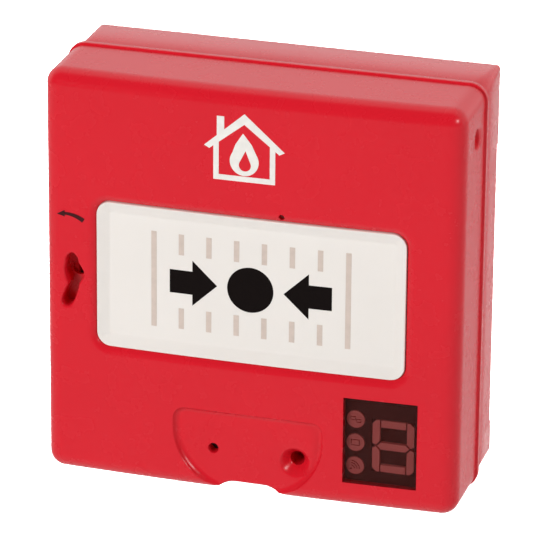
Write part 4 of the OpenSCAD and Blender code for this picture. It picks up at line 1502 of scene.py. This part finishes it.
@dataclass
class WallBox:
    """The red wall box behind the front unit, with its rubber seal and screw insert."""

    shape: CoverShape
    back: float = 122.0
    flare: float = 1.1
    depth: float = 22.0
    wall: float = 2.4
    floor: float = 2.5
    corner: float = 4.9
    back_corner: float = 1.2
    boss: float = 4.2
    boss_front: float = -20.0
    magnet_cup: float = 4.0
    cup_front: float = -7.5
    magnet_bore: float = 2.6
    rib_half: float = 7.0
    rib_depth: float = 1.5
    insert_bore: float = 2.62
    insert_end: float = -13.0
    screw_core: float = 1.75
    slot_half: float = 2.25
    slot_run: float = 30.0
    side_step: tuple[Place, Place] = ((60.4, -2.5, -51.2), (64.0, 1.0, 37.0))
    groove_width: float = 1.2
    groove_y: tuple[float, float] = (-23.0, -21.2)
    seal_y: float = -21.7
    seal_round: float = 3.7
    cord_radius: float = 0.45

    @property
    def magnet(self) -> Point:
        """Place of the tamper magnet."""
        return -self.shape.screw[0], self.shape.screw[1] + self.shape.magnet_rise

    @property
    def rim_middle(self) -> float:
        """Side of the square along the middle of the rim."""
        return self.back + 2 * self.flare - self.wall

    def outline(self, y: float, inset: float) -> Outline:
        """The box's outline at a depth, made smaller by the inset.

        Args:
            y: The depth.
            inset: How far inside the real edge it lies.

        Returns:
            The outline.
        """
        grow = -y / self.depth * self.flare - inset
        side = self.back + 2 * grow
        corner = self.back_corner + (self.corner - self.back_corner) * min(1, -y / self.depth)
        radius = max(corner - min(max(inset, 0), 1), 0.3)
        return round_rect(side, side, radius, steps=10, pitch=(side - 2 * radius) / 27.5)

    def body(self) -> bpy.types.Object:
        """The box's outside as a closed solid, its edges slightly rounded."""
        shell = Shell().loft((self.outline(y, inset), y) for y, inset in (
            (-self.depth, 0.3), (-self.depth + 0.09, 0.09), (-self.depth + 0.3, 0),
            (-12.0, 0), (-0.9, 0), (-0.4, 0.12), (-0.1, 0.4), (0.0, 0.9)))
        return shell.make("wall_box", smooth=False)

    def hollow(self) -> bpy.types.Object:
        """What is taken out of the box, less its boss, pocket and ribs."""
        shell = Shell().loft((self.outline(y, self.wall + inset), y) for y, inset in (
            (-self.depth - 1, 0), (-self.floor - 0.8, 0), (-self.floor - 0.2, 0.25),
            (-self.floor, 0.8)))
        hollow = shell.make("box_hollow", smooth=False)
        s, boss, cup = self.shape, self.boss, self.magnet_cup
        sunk = -self.floor + 0.3
        kept = Shell().turn(s.screw, [(boss - 0.3, self.boss_front), (boss, self.boss_front + 0.3),
                                      (boss, sunk - 1.2), (boss + 0.9, sunk)], 40)
        kept.turn(self.magnet, [(cup - 0.2, self.cup_front), (cup, self.cup_front + 0.2),
                                (cup, sunk)], 32)
        rib_z = self.back / 2 + self.flare - self.wall
        for x in (-s.hinge_reach, s.hinge_reach):
            kept.box((x - self.rib_half, -self.depth, rib_z - 1),
                     (x + self.rib_half, -self.depth + self.rib_depth, rib_z + 0.6))
        carve(hollow, kept)
        return hollow

    def cuts(self) -> bpy.types.Object:
        """The wall slots, the insert's bore, the magnet's bore and a step."""
        s = self.shape
        cuts = Shell()
        for x in (-self.slot_run, self.slot_run):
            cuts.loft((self.slot(x, grow), y) for grow, y in (
                (1.1, -3.5), (1.1, -2.6), (0.35, -1.9), (0.0, -1.6), (0.0, 1.0)))
        bore, core = self.insert_bore, self.screw_core
        cuts.turn(s.screw, [(bore + 0.28, self.boss_front - 1), (bore, self.boss_front + 0.2),
                            (bore, self.insert_end), (core, self.insert_end),
                            (core, self.insert_end + 3)], 40)
        cuts.turn(self.magnet, [(self.magnet_bore, self.cup_front - 1),
                                (self.magnet_bore, self.cup_front + 4)], 28)
        cuts.box(*self.side_step)
        return cuts.make("box_cuts", smooth=False)

    def slot(self, x: float, grow: float) -> Outline:
        """One wall slot's outline, made wider by the growth.

        Args:
            x: The slot's middle.
            grow: The growth.

        Returns:
            The outline.
        """
        half, radius = self.slot_half, self.slot_half + grow
        return spaced([*arc((x + half, 0), radius, -90, 90, 12),
                       *arc((x - half, 0), radius, 90, 270, 12)], 3)

    def groove(self) -> bpy.types.Object:
        """The groove for the seal in the box's rim."""
        half = self.groove_width / 2
        wide, narrow = self.rim_middle + 2 * half, self.rim_middle - 2 * half
        ring = (round_rect(wide, wide, self.seal_round + half, pitch=8),
                [round_rect(narrow, narrow, self.seal_round - half, pitch=8)])
        return pierced("box_groove", [ring], *self.groove_y)

    def seal(self, shop: Workshop) -> None:
        """Lays the rubber seal, a cord swept round the rim.

        Args:
            shop: The finishes.
        """
        pattern = Pattern("rubber_seal")
        side = pattern.size("Side", self.rim_middle * MM)
        ring = pattern.add("CurvePrimitiveQuadrilateral", {"Width": side, "Height": side})
        round_ring = pattern.add("FilletCurve", {"Curve": ring, "Radius": self.seal_round * MM,
                                                 "Count": 8}, mode="POLY")
        cord = pattern.add("CurvePrimitiveCircle", {"Resolution": 10, "Radius": pattern.size(
            "Cord radius", self.cord_radius * MM)})
        swept = pattern.add("CurveToMesh", {"Curve": round_ring, "Profile Curve": cord})
        laid = pattern.add("Transform", {"Geometry": swept, "Rotation": (math.pi / 2, 0, 0),
                                         "Translation": (0, self.seal_y * MM, 0)})
        piece = pattern.make(laid, shop.material(Finish.GASKET_RUBBER))
        shop.fit(piece, Finish.GASKET_RUBBER, "wall_unit", "seam_gasket")

    def build(self, shop: Workshop) -> None:
        """Makes the box and its seal and fits them.

        Args:
            shop: The finishes.
        """
        box = self.body()
        combine(box, self.hollow(), Join.CUT)
        combine(box, self.cuts(), Join.CUT)
        combine(box, self.groove(), Join.CUT)
        box.name = "wall_box_shell"
        soften(box, 30)
        shop.fit(box, Finish.COVER_RED, "wall_unit", "back_box")
        self.seal(shop)


@dataclass
class PushPlate:
    """The white plate in the window, a shallow tray, with its printed marks and inset bars."""

    shape: CoverShape
    gap: float = 0.12
    rim_depth: float = 0.7
    face_depth: float = 2.2
    cove: float = 3.2
    flange_sink: float = 2.7
    flange_back: float = -44.65
    lap: float = 1.45
    post: tuple[float, float, float] = (2.0, -11.5, -39.308)
    bar_width: float = 1.6
    bar_length: float = 6.4
    bar_inner: float = 8.3
    bar_pitch: float = 8.35
    tall_bar: float = 29.6
    relief: float = 0.12

    def face(self, x: np.ndarray, z: np.ndarray) -> np.ndarray:
        """Depth of the tray's face.

        Args:
            x: Distances to the right.
            z: Heights.

        Returns:
            The y values.
        """
        s = self.shape
        inner = -rect_distance(x, z - s.window_z, s.window[0] - 2 * self.gap,
                               s.window[1] - 2 * self.gap, s.window_radius - self.gap)
        share = np.clip((inner - 0.3) / self.cove, 0, 1)
        sunk = self.rim_depth + (self.face_depth + 0.02 - self.rim_depth) * share
        return s.dome(x) + sunk + fillet(np.maximum(inner, 0), 0.25)

    def tray(self) -> bpy.types.Object:
        """The plate as one solid: tray, flange and the post behind it."""
        s = self.shape
        width, height = s.window[0] - 2 * self.gap, s.window[1] - 2 * self.gap
        radius = s.window_radius - self.gap
        guides = [round_rect(width - 2 * i, height - 2 * i, max(radius - i, 0.05), (0, s.window_z),
                             8, 1.6)
                  for i in (0.06, 0.14, 0.25, 0.4, 0.8, 1.2, 1.6, 2.0, 2.4, 2.8, 3.2, 3.6, 4.0)]
        skin = Skin(round_rect(width, height, radius, (0, s.window_z), 8, 1.6), [], guides, 4.0,
                    self.face)
        shell, ring = skin.shell, skin.borders[0]
        flat = skin.flat(ring)
        wide = grown(flat, self.lap)
        rise = [float(s.dome(x)) + self.flange_sink for x, _ in flat]
        back = self.flange_back
        for outline, y in ((flat, rise), (wide, rise), (wide, back - 0.2),
                           (grown(flat, self.lap - 0.25), back)):
            ring = shell.carry(ring, outline, [y])
        shell.cap(ring, False)
        radius, z, end = self.post
        shell.turn((0, z), [(radius, -45.0), (radius, end - 0.3), (radius - 0.3, end)], 32)
        return shell.make("push_plate_tray", 30)

    def bars(self, shop: Workshop) -> bpy.types.Object:
        """The rows of narrow bars, laid on the curved face by one tree.

        Args:
            shop: The finishes.

        Returns:
            The piece.
        """
        s = self.shape
        p = Pattern("plate_bar_rows")
        width, length = p.size("Bar width", self.bar_width * MM), p.size(
            "Bar length", self.bar_length * MM)
        pitch, tall = p.size("Pitch", self.bar_pitch * MM), p.size(
            "Tall bar length", self.tall_bar * MM)
        inner, relief = p.size("Inner edge", self.bar_inner * MM), p.size(
            "Relief", self.relief * MM)
        bow, depth = p.size("Bow radius", s.bow * MM), p.size(
            "Face depth", (s.front_y + self.face_depth + 0.06) * MM)

        def bar(long: bpy.types.NodeSocket) -> bpy.types.NodeSocket:
            """Adds the nodes of one upright bar of that length."""
            outline = p.add("CurvePrimitiveQuadrilateral", {"Width": width, "Height": long})
            cut = p.add("SubdivideCurve", {"Curve": outline, "Cuts": 15})
            face = p.add("FillCurve", {"Curve": cut})
            top = p.add("ExtrudeMesh", {"Mesh": face, "Offset Scale": relief,
                                        "Individual": False})
            return p.add("JoinGeometry", {0: [top, p.add("FlipFaces", {"Mesh": face})]})

        def line(count: int, start: float, step: float, height: object) -> bpy.types.NodeSocket:
            """Adds a row of points; start and step count in pitches."""
            first = p.add("ShaderNodeCombineXYZ", {0: p.sum(pitch, start, "MULTIPLY"), 1: height})
            return p.add("MeshLine", {"Count": count, "Start Location": first,
                                      "Offset": p.add("ShaderNodeCombineXYZ", {
                                          0: p.sum(pitch, step, "MULTIPLY")})})

        middle = p.sum(inner, p.sum(length, 0.5, "MULTIPLY"))
        rows = [p.add("InstanceOnPoints", {"Points": line(6, -2.5, 1, h), "Instance": bar(length)})
                for h in (middle, p.sum(middle, -1.0, "MULTIPLY"))]
        rows.append(p.add("InstanceOnPoints", {"Points": line(2, -3.5, 7, 0.0),
                                               "Instance": bar(tall)}))
        flat = p.add("RealizeInstances", {0: p.add("JoinGeometry", {0: rows})})
        merged = p.add("MergeByDistance", {"Geometry": flat, "Distance": 1e-6})
        up = p.add("Transform", {"Geometry": merged, "Rotation": (math.pi / 2, 0, 0),
                                 "Translation": (0, 0, s.window_z * MM)})
        x = p.add("ShaderNodeSeparateXYZ", {0: p.add("InputPosition")}, "X")
        rest = p.sum(p.sum(bow, 2.0, "POWER"), p.sum(x, 2.0, "POWER"), "SUBTRACT")
        fall = p.sum(p.sum(bow, p.sum(rest, 0.5, "POWER"), "SUBTRACT"), depth)
        bent = p.add("SetPosition", {"Geometry": up, "Offset": p.add("ShaderNodeCombineXYZ",
                                                                     {1: fall})})
        return p.make(bent, shop.material(Finish.BAR_GREY))

    def build(self, shop: Workshop) -> None:
        """Makes the plate and its bars and fits them to the sliding body.

        Args:
            shop: The finishes.
        """
        shop.fit(self.tray(), Finish.PLATE_WHITE, "press_plate", "push_plate")
        shop.fit(self.bars(shop), Finish.BAR_GREY, "press_plate", "plate_bars")
        shop.dress_node("plate_symbols", Finish.PRINT_BLACK)


@dataclass
class StatusDisplay:
    """The smoked window with the digit and the three status lights behind it."""

    shape: CoverShape
    front: float = -47.28
    thick: float = 1.2
    lens_gap: float = 0.12
    lens_back: float = -47.55
    digit: Point = (43.3, -42.6)
    size: tuple[float, float] = (12.5, 16.2)
    bar: float = 2.15
    slit: float = 0.42
    icon_x: float = 31.95
    icon_pitch: float = 7.3
    icon_drop: float = 1.3
    icon_radius: float = 2.7

    def lens(self) -> bpy.types.Object:
        """The window pane, flush with the curved face."""
        s = self.shape
        width, height = (side - 2 * self.lens_gap for side in s.display_size)
        border = round_rect(width, height, 0.3, s.display, 3, 2)

        def face(x: np.ndarray, z: np.ndarray) -> np.ndarray:
            """Depth of the pane's front."""
            inner = -rect_distance(x - s.display[0], z - s.display[1], width, height, 0.3)
            return s.dome(x) + fillet(np.maximum(inner, 0), 0.12)

        guides = [round_rect(width - 2 * i, height - 2 * i, 0.2, s.display, 2, 2)
                  for i in (0.04, 0.12, 0.3)]
        skin = Skin(border, [], guides, 3, face)
        back = skin.shell.ring(skin.flat(skin.borders[0]), self.lens_back)
        skin.shell.bridge(skin.borders[0], back)
        skin.shell.cap(back, False)
        return skin.shell.make("display_pane", 30)

    def digit_bars(self) -> bpy.types.Object:
        """The seven bars of the digit, mitred where they meet."""
        w, h, b, g = self.size[0] / 2, self.size[1] / 2, self.bar, self.slit
        cx, cz = self.digit
        top = [(-w + b + g, h), (-w + b + g, h - b), (w - b - g, h - b), (w - b - g, h)]
        side = [(-w, h - 1.2), (-w, g + 0.4), (-w + b * 0.5, g * 0.6), (-w + b, b * 0.5 + g),
                (-w + b, h), (-w + 1.2, h)]
        mid = [(-w + b * 0.5 + g, 0), (-w + b + g, -b / 2), (w - b - g, -b / 2),
               (w - b * 0.5 - g, 0), (w - b - g, b / 2), (-w + b + g, b / 2)]
        parts: list[Outline] = [list(mid), list(top), [(x, -z) for x, z in reversed(top)]]
        for sx in (1, -1):
            for sz in (1, -1):
                points = [(sx * x, sz * z) for x, z in side]
                parts.append(points if sx * sz > 0 else list(reversed(points)))
        shell = Shell()
        for part in parts:
            shell.extrude([(x + cx, z + cz) for x, z in part], self.front, self.front + self.thick)
        return shell.make("digit_bars", 30)

    def icons(self) -> bpy.types.Object:
        """Three round lights with the signs for lock, battery and radio cut out of them."""
        def frame_of(x: float, z: float, w: float, h: float, line: float) -> list[Outline]:
            """The line round a rectangle of half sizes w and h."""
            # a frame as two cut-outs, an L above and an L below, so that its middle stays
            return [[(x - w, z - h + line * 1.5), (x - w + line, z - h + line * 1.5),
                     (x - w + line, z + h - line), (x + w, z + h - line), (x + w, z + h),
                     (x - w, z + h)],
                    [(x - w, z - h), (x + w, z - h), (x + w, z + h - line * 1.5),
                     (x + w - line, z + h - line * 1.5), (x + w - line, z - h + line),
                     (x - w, z - h + line)]]
        cx, top = self.icon_x, self.shape.display[1] + self.icon_pitch - self.icon_drop
        battery_z, radio_z = top - self.icon_pitch, top - 2 * self.icon_pitch
        lock = frame_of(cx - 0.75, top + 0.35, 0.85, 0.6, 0.26) + frame_of(
            cx + 0.95, top - 0.4, 0.75, 0.55, 0.26)
        battery = frame_of(cx, battery_z, 1.35, 1.0, 0.3)
        radio: list[Outline] = [circle((cx - 1.2, radio_z - 1.1), 0.35, 12)]
        for radius in (1.1, 1.85, 2.6):
            centre = (cx - 1.2, radio_z - 1.1)
            radio.append([*arc(centre, radius + 0.17, 2, 88, 10),
                          *arc(centre, radius - 0.17, 88, 2, 10)])
        discs = [(circle((cx, z), self.icon_radius, 40), holes)
                 for z, holes in ((top, lock), (battery_z, battery), (radio_z, radio))]
        return pierced("status_lights", discs, self.front, self.front + self.thick)

    def build(self, shop: Workshop) -> None:
        """Makes the display's pieces and fits them.

        Args:
            shop: The finishes.
        """
        shop.fit(self.lens(), Finish.SMOKED_LENS, "front_unit", "display_lens")
        shop.fit(self.digit_bars(), Finish.DIM_RED, "front_unit", "digit_segments")
        shop.fit(self.icons(), Finish.DIM_RED, "front_unit", "status_icons")
        shop.dress_node("display_mask", Finish.MASK_BLACK)
        shop.dress_node("display_board", Finish.BOARD_GREEN)


@dataclass
class Fixings:
    """Small screws, the coil spring and the pins, each set out by a node tree."""

    shape: CoverShape
    head_radius: float = 2.0
    head_height: float = 1.6
    shank_radius: float = 1.1
    thread_pitch: float = 0.7
    board_length: float = 7.6
    carrier_length: float = 4.7
    coil_turns: float = 7.0
    wire: float = 0.2
    key_travel: float = 1.2
    pin_tip: float = 0.15
    pin_half: float = 0.32
    pin_count: int = 6

    def screw(self, length: float) -> bpy.types.Object:
        """A pan-head screw about the origin, its head towards +Y.

        Args:
            length: Length under its head.

        Returns:
            The screw.
        """
        r, h, s = self.head_radius, self.head_height, self.shank_radius
        profile = [(0, -length), (s * 0.55, -length + 0.1), (s, -length + 0.9)]
        pitch = self.thread_pitch
        for k in range(int((length - 2 * pitch) / pitch)):
            y = -length + 1.0 + k * pitch
            profile += [(s, y), (s * 0.8, y + 0.2), (s * 0.8, y + 0.4), (s, y + 0.6)]
        profile += [(s, -0.02), (r * 0.96, 0.0), (r, 0.15), (r, h * 0.55), (r * 0.86, h * 0.85),
                    (r * 0.55, h), (0, h)]
        screw = Shell().turn((0, 0), profile, 20).make("screw", smooth=False)
        for x, z in ((0.3, 1.3), (1.3, 0.3)):
            carve(screw, Shell().box((-x, h - 0.8, -z), (x, h + 1, z)))
        return screw

    def spring(self, shop: Workshop) -> None:
        """Coils the test key's spring.

        Args:
            shop: The finishes.
        """
        low, high = (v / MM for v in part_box("test_spring"))
        p = Pattern("test_spring_coil")
        radius = p.size("Coil radius", float(high.x - low.x) / 2 * MM - 0.22 * MM)
        height = p.size("Free length", float(high.y - low.y - 0.5) * MM)
        coil = p.add("CurveSpiral", {"Resolution": 20, "Rotations": p.size("Turns", self.coil_turns),
                                     "Start Radius": radius, "End Radius": radius,
                                     "Height": height})
        wire = p.add("CurvePrimitiveCircle", {"Resolution": 8,
                                              "Radius": p.size("Wire radius",
                                                               self.wire * MM)})
        swept = p.add("CurveToMesh", {"Curve": coil, "Profile Curve": wire, "Fill Caps": True})
        middle = ((low.x + high.x) / 2 * MM, (low.y + 0.25) * MM, (low.z + high.z) / 2 * MM)
        laid = p.add("Transform", {"Geometry": swept, "Rotation": (-math.pi / 2, 0, 0),
                                   "Translation": middle})
        piece = p.make(laid, shop.material(Finish.STEEL))
        shop.fit(piece, Finish.STEEL, "front_unit", "test_spring")
        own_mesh(piece)

    def build(self, shop: Workshop) -> None:
        """Sets out the screws and pins and fits them.

        Args:
            shop: The finishes.
        """
        s, steel = self.shape, shop.material(Finish.STEEL)
        for name, node, length, spots in (
                ("board_screw_set", "board_screws", self.board_length, s.board_spots),
                ("carrier_screw_set", "carrier_screws", self.carrier_length, s.carrier_spots)):
            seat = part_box(node)[1].y / MM - self.head_height
            points = [(x, seat, z) for x, z in spots]
            piece = at_points(name, self.screw(length), points, steel)
            shop.fit(piece, Finish.STEEL, "front_unit", node)
        self.spring(shop)
        low, high = (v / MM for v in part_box("display_header"))
        tip, half, count = self.pin_tip, self.pin_half, self.pin_count
        pin = Shell().loft(([(r, r), (-r, r), (-r, -r), (r, -r)], y) for r, y in (
            (tip, low.y), (half, low.y + 0.5), (half, high.y - 0.5), (tip, high.y)))
        mid_z = (low.z + high.z) / 2
        step = (high.x - low.x - 2 * half) / (count - 1)
        points = [(low.x + half + step * k, 0, mid_z) for k in range(count)]
        pins = at_points("header_pins", pin.make("pin", smooth=False), points,
                         shop.material(Finish.BRASS))
        shop.fit(pins, Finish.BRASS, "front_unit", "display_header")


@dataclass
class Inside:
    """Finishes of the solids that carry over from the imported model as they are."""

    finishes: dict[str, Finish] = field(default_factory=lambda: {
        "screw_insert": Finish.BRASS, "battery_cradle": Finish.CRADLE_BLACK,
        "batteries": Finish.BATTERY_WRAP, "battery_contacts": Finish.STEEL,
        "power_pins": Finish.BRASS, "tamper_magnet": Finish.STEEL,
        "house_pictogram": Finish.PRINT_WHITE, "turn_arrow": Finish.FADED_INK,
        "cover_screw": Finish.DARK_STEEL, "screw_clip": Finish.STEEL,
        "plate_carrier": Finish.CARRIER_GREY, "main_board": Finish.BOARD_GREEN,
        "radio_module": Finish.STEEL, "antenna": Finish.BRASS, "sounder": Finish.MASK_BLACK,
        "processor": Finish.MASK_BLACK, "capacitors": Finish.CAPACITOR_BLUE,
        "reed_switch": Finish.PALE_PLASTIC, "plate_switch": Finish.CRADLE_BLACK,
        "test_switch": Finish.CRADLE_BLACK, "switch_lever": Finish.STEEL,
        "reset_barrel": Finish.COVER_RED, "reset_cam": Finish.COVER_RED,
        "test_button": Finish.CRADLE_BLACK})

    def build(self, shop: Workshop) -> None:
        """Dresses them.

        Args:
            shop: The finishes.
        """
        for node, finish in self.finishes.items():
            shop.dress_node(node, finish)
        log.info("%d carried-over solids dressed", len(self.finishes))


@dataclass
class Studio:
    """Floor, soft lights and camera."""

    location: Place = (0.3464, -1.2166, 0.4933)
    turn: float = 16.244
    tilt: float = 21.715
    roll: float = 0.513
    lens: float = 304.0
    floor_z: float = -0.45
    floor_reach: float = 6.0
    sky: tuple[float, float] = (0.12, 1.3)
    sky_change: tuple[float, float] = (-0.2, 0.1)

    def camera(self) -> None:
        """Sets the camera."""
        turn, tilt, roll = (math.radians(a) for a in (self.turn, self.tilt, self.roll))
        back = Vector((math.sin(turn) * math.cos(tilt), -math.cos(turn) * math.cos(tilt),
                       math.sin(tilt)))
        right = Vector((math.cos(turn), math.sin(turn), 0))
        up = back.cross(right)
        right, up = (math.cos(roll) * right + math.sin(roll) * up,
                     -math.sin(roll) * right + math.cos(roll) * up)
        data = bpy.data.cameras.new("camera")
        data.lens, data.sensor_width = self.lens, 36.0
        data.clip_start, data.clip_end = 0.05, 50
        camera = bpy.data.objects.new("camera", data)
        bpy.context.scene.collection.objects.link(camera)
        camera.matrix_world = Matrix((
            (right.x, up.x, back.x, self.location[0]), (right.y, up.y, back.y, self.location[1]),
            (right.z, up.z, back.z, self.location[2]), (0, 0, 0, 1)))
        bpy.context.scene.camera = camera

    def floor(self) -> None:
        """Lays the pale floor."""
        mesh = bpy.data.meshes.new("floor")
        reach = self.floor_reach
        mesh.from_pydata([(x, y, self.floor_z) for x, y in (
            (-reach, -reach), (reach, -reach), (reach, reach), (-reach, reach))], [],
            [(0, 1, 2, 3)])
        floor = bpy.data.objects.new("floor", mesh)
        bpy.context.scene.collection.objects.link(floor)
        nodes = Nodes("pale_floor")
        nodes.paint(nodes.mix(nodes.span(nodes.noise(3, 2), 0, 1), (0.9, 0.9, 0.9),
                              (0.93, 0.93, 0.93)))
        nodes.shader.inputs["Roughness"].default_value = 0.9
        mesh.materials.append(nodes.material)

    def lamp(self, name: str, place: Place, aim: Place, size: float, power: float,
             spread: float = 180, mirrored: bool = True) -> None:
        """Hangs one square soft light.

        Args:
            name: The light's name.
            place: Where it hangs.
            aim: The point it faces.
            size: Its side.
            power: Its power in watts.
            spread: Angle of its beam in degrees.
            mirrored: Whether glossy surfaces show it.
        """
        data = bpy.data.lights.new(name, "AREA")
        data.size, data.energy, data.spread = size, power, math.radians(spread)
        lamp = bpy.data.objects.new(name, data)
        lamp.location = place
        lamp.visible_glossy = mirrored
        lamp.rotation_mode = "QUATERNION"
        lamp.rotation_quaternion = (Vector(aim) - Vector(place)).to_track_quat("-Z", "Y")
        bpy.context.scene.collection.objects.link(lamp)

    def surround(self) -> None:
        """Sets the soft surrounding light, brighter behind the object than before it."""
        world = bpy.data.worlds.new("studio")
        bpy.context.scene.world = world
        world.use_nodes = True
        tree = world.node_tree
        tree.nodes.clear()
        out = tree.nodes.new("ShaderNodeOutputWorld")
        light = tree.nodes.new("ShaderNodeBackground")
        where = tree.nodes.new("ShaderNodeTexCoord")
        split = tree.nodes.new("ShaderNodeSeparateXYZ")
        span = tree.nodes.new("ShaderNodeMapRange")
        for name, number in zip(("From Min", "From Max", "To Min", "To Max"),
                                (*self.sky_change, *self.sky)):
            span.inputs[name].default_value = number
        span.interpolation_type = "SMOOTHSTEP"
        tree.links.new(where.outputs["Generated"], split.inputs[0])
        tree.links.new(split.outputs["Y"], span.inputs["Value"])
        tree.links.new(span.outputs["Result"], light.inputs["Strength"])
        tree.links.new(light.outputs[0], out.inputs[0])

    def build(self) -> None:
        """Sets the whole studio."""
        self.camera()
        self.floor()
        self.surround()
        self.lamp("key_light", (-0.75, -1.4, 0.42), (0, 0, 0), 0.55, 2.15, 60, False)
        self.lamp("side_light", (1.3, -0.75, 0.75), (0, 0, 0), 0.3, 0.8, 60)
        self.lamp("floor_light", (-0.45, 1.2, 0.9), (-0.45, 1.1, self.floor_z), 0.6, 7, 45)
        bpy.context.scene.view_settings.view_transform = "Standard"
        log.info("studio set")


def main() -> None:
    """Builds every sub-assembly in turn and sets the studio."""
    logging.basicConfig(level=logging.INFO, format="%(name)s: %(message)s", force=True)
    shop = Workshop()
    shape = CoverShape()
    for part in (FrontCover(shape), WallBox(shape), PushPlate(shape), StatusDisplay(shape),
                 Fixings(shape), Inside()):
        part.build(shop)
    Studio().build()


if __name__ == "__main__":
    main()
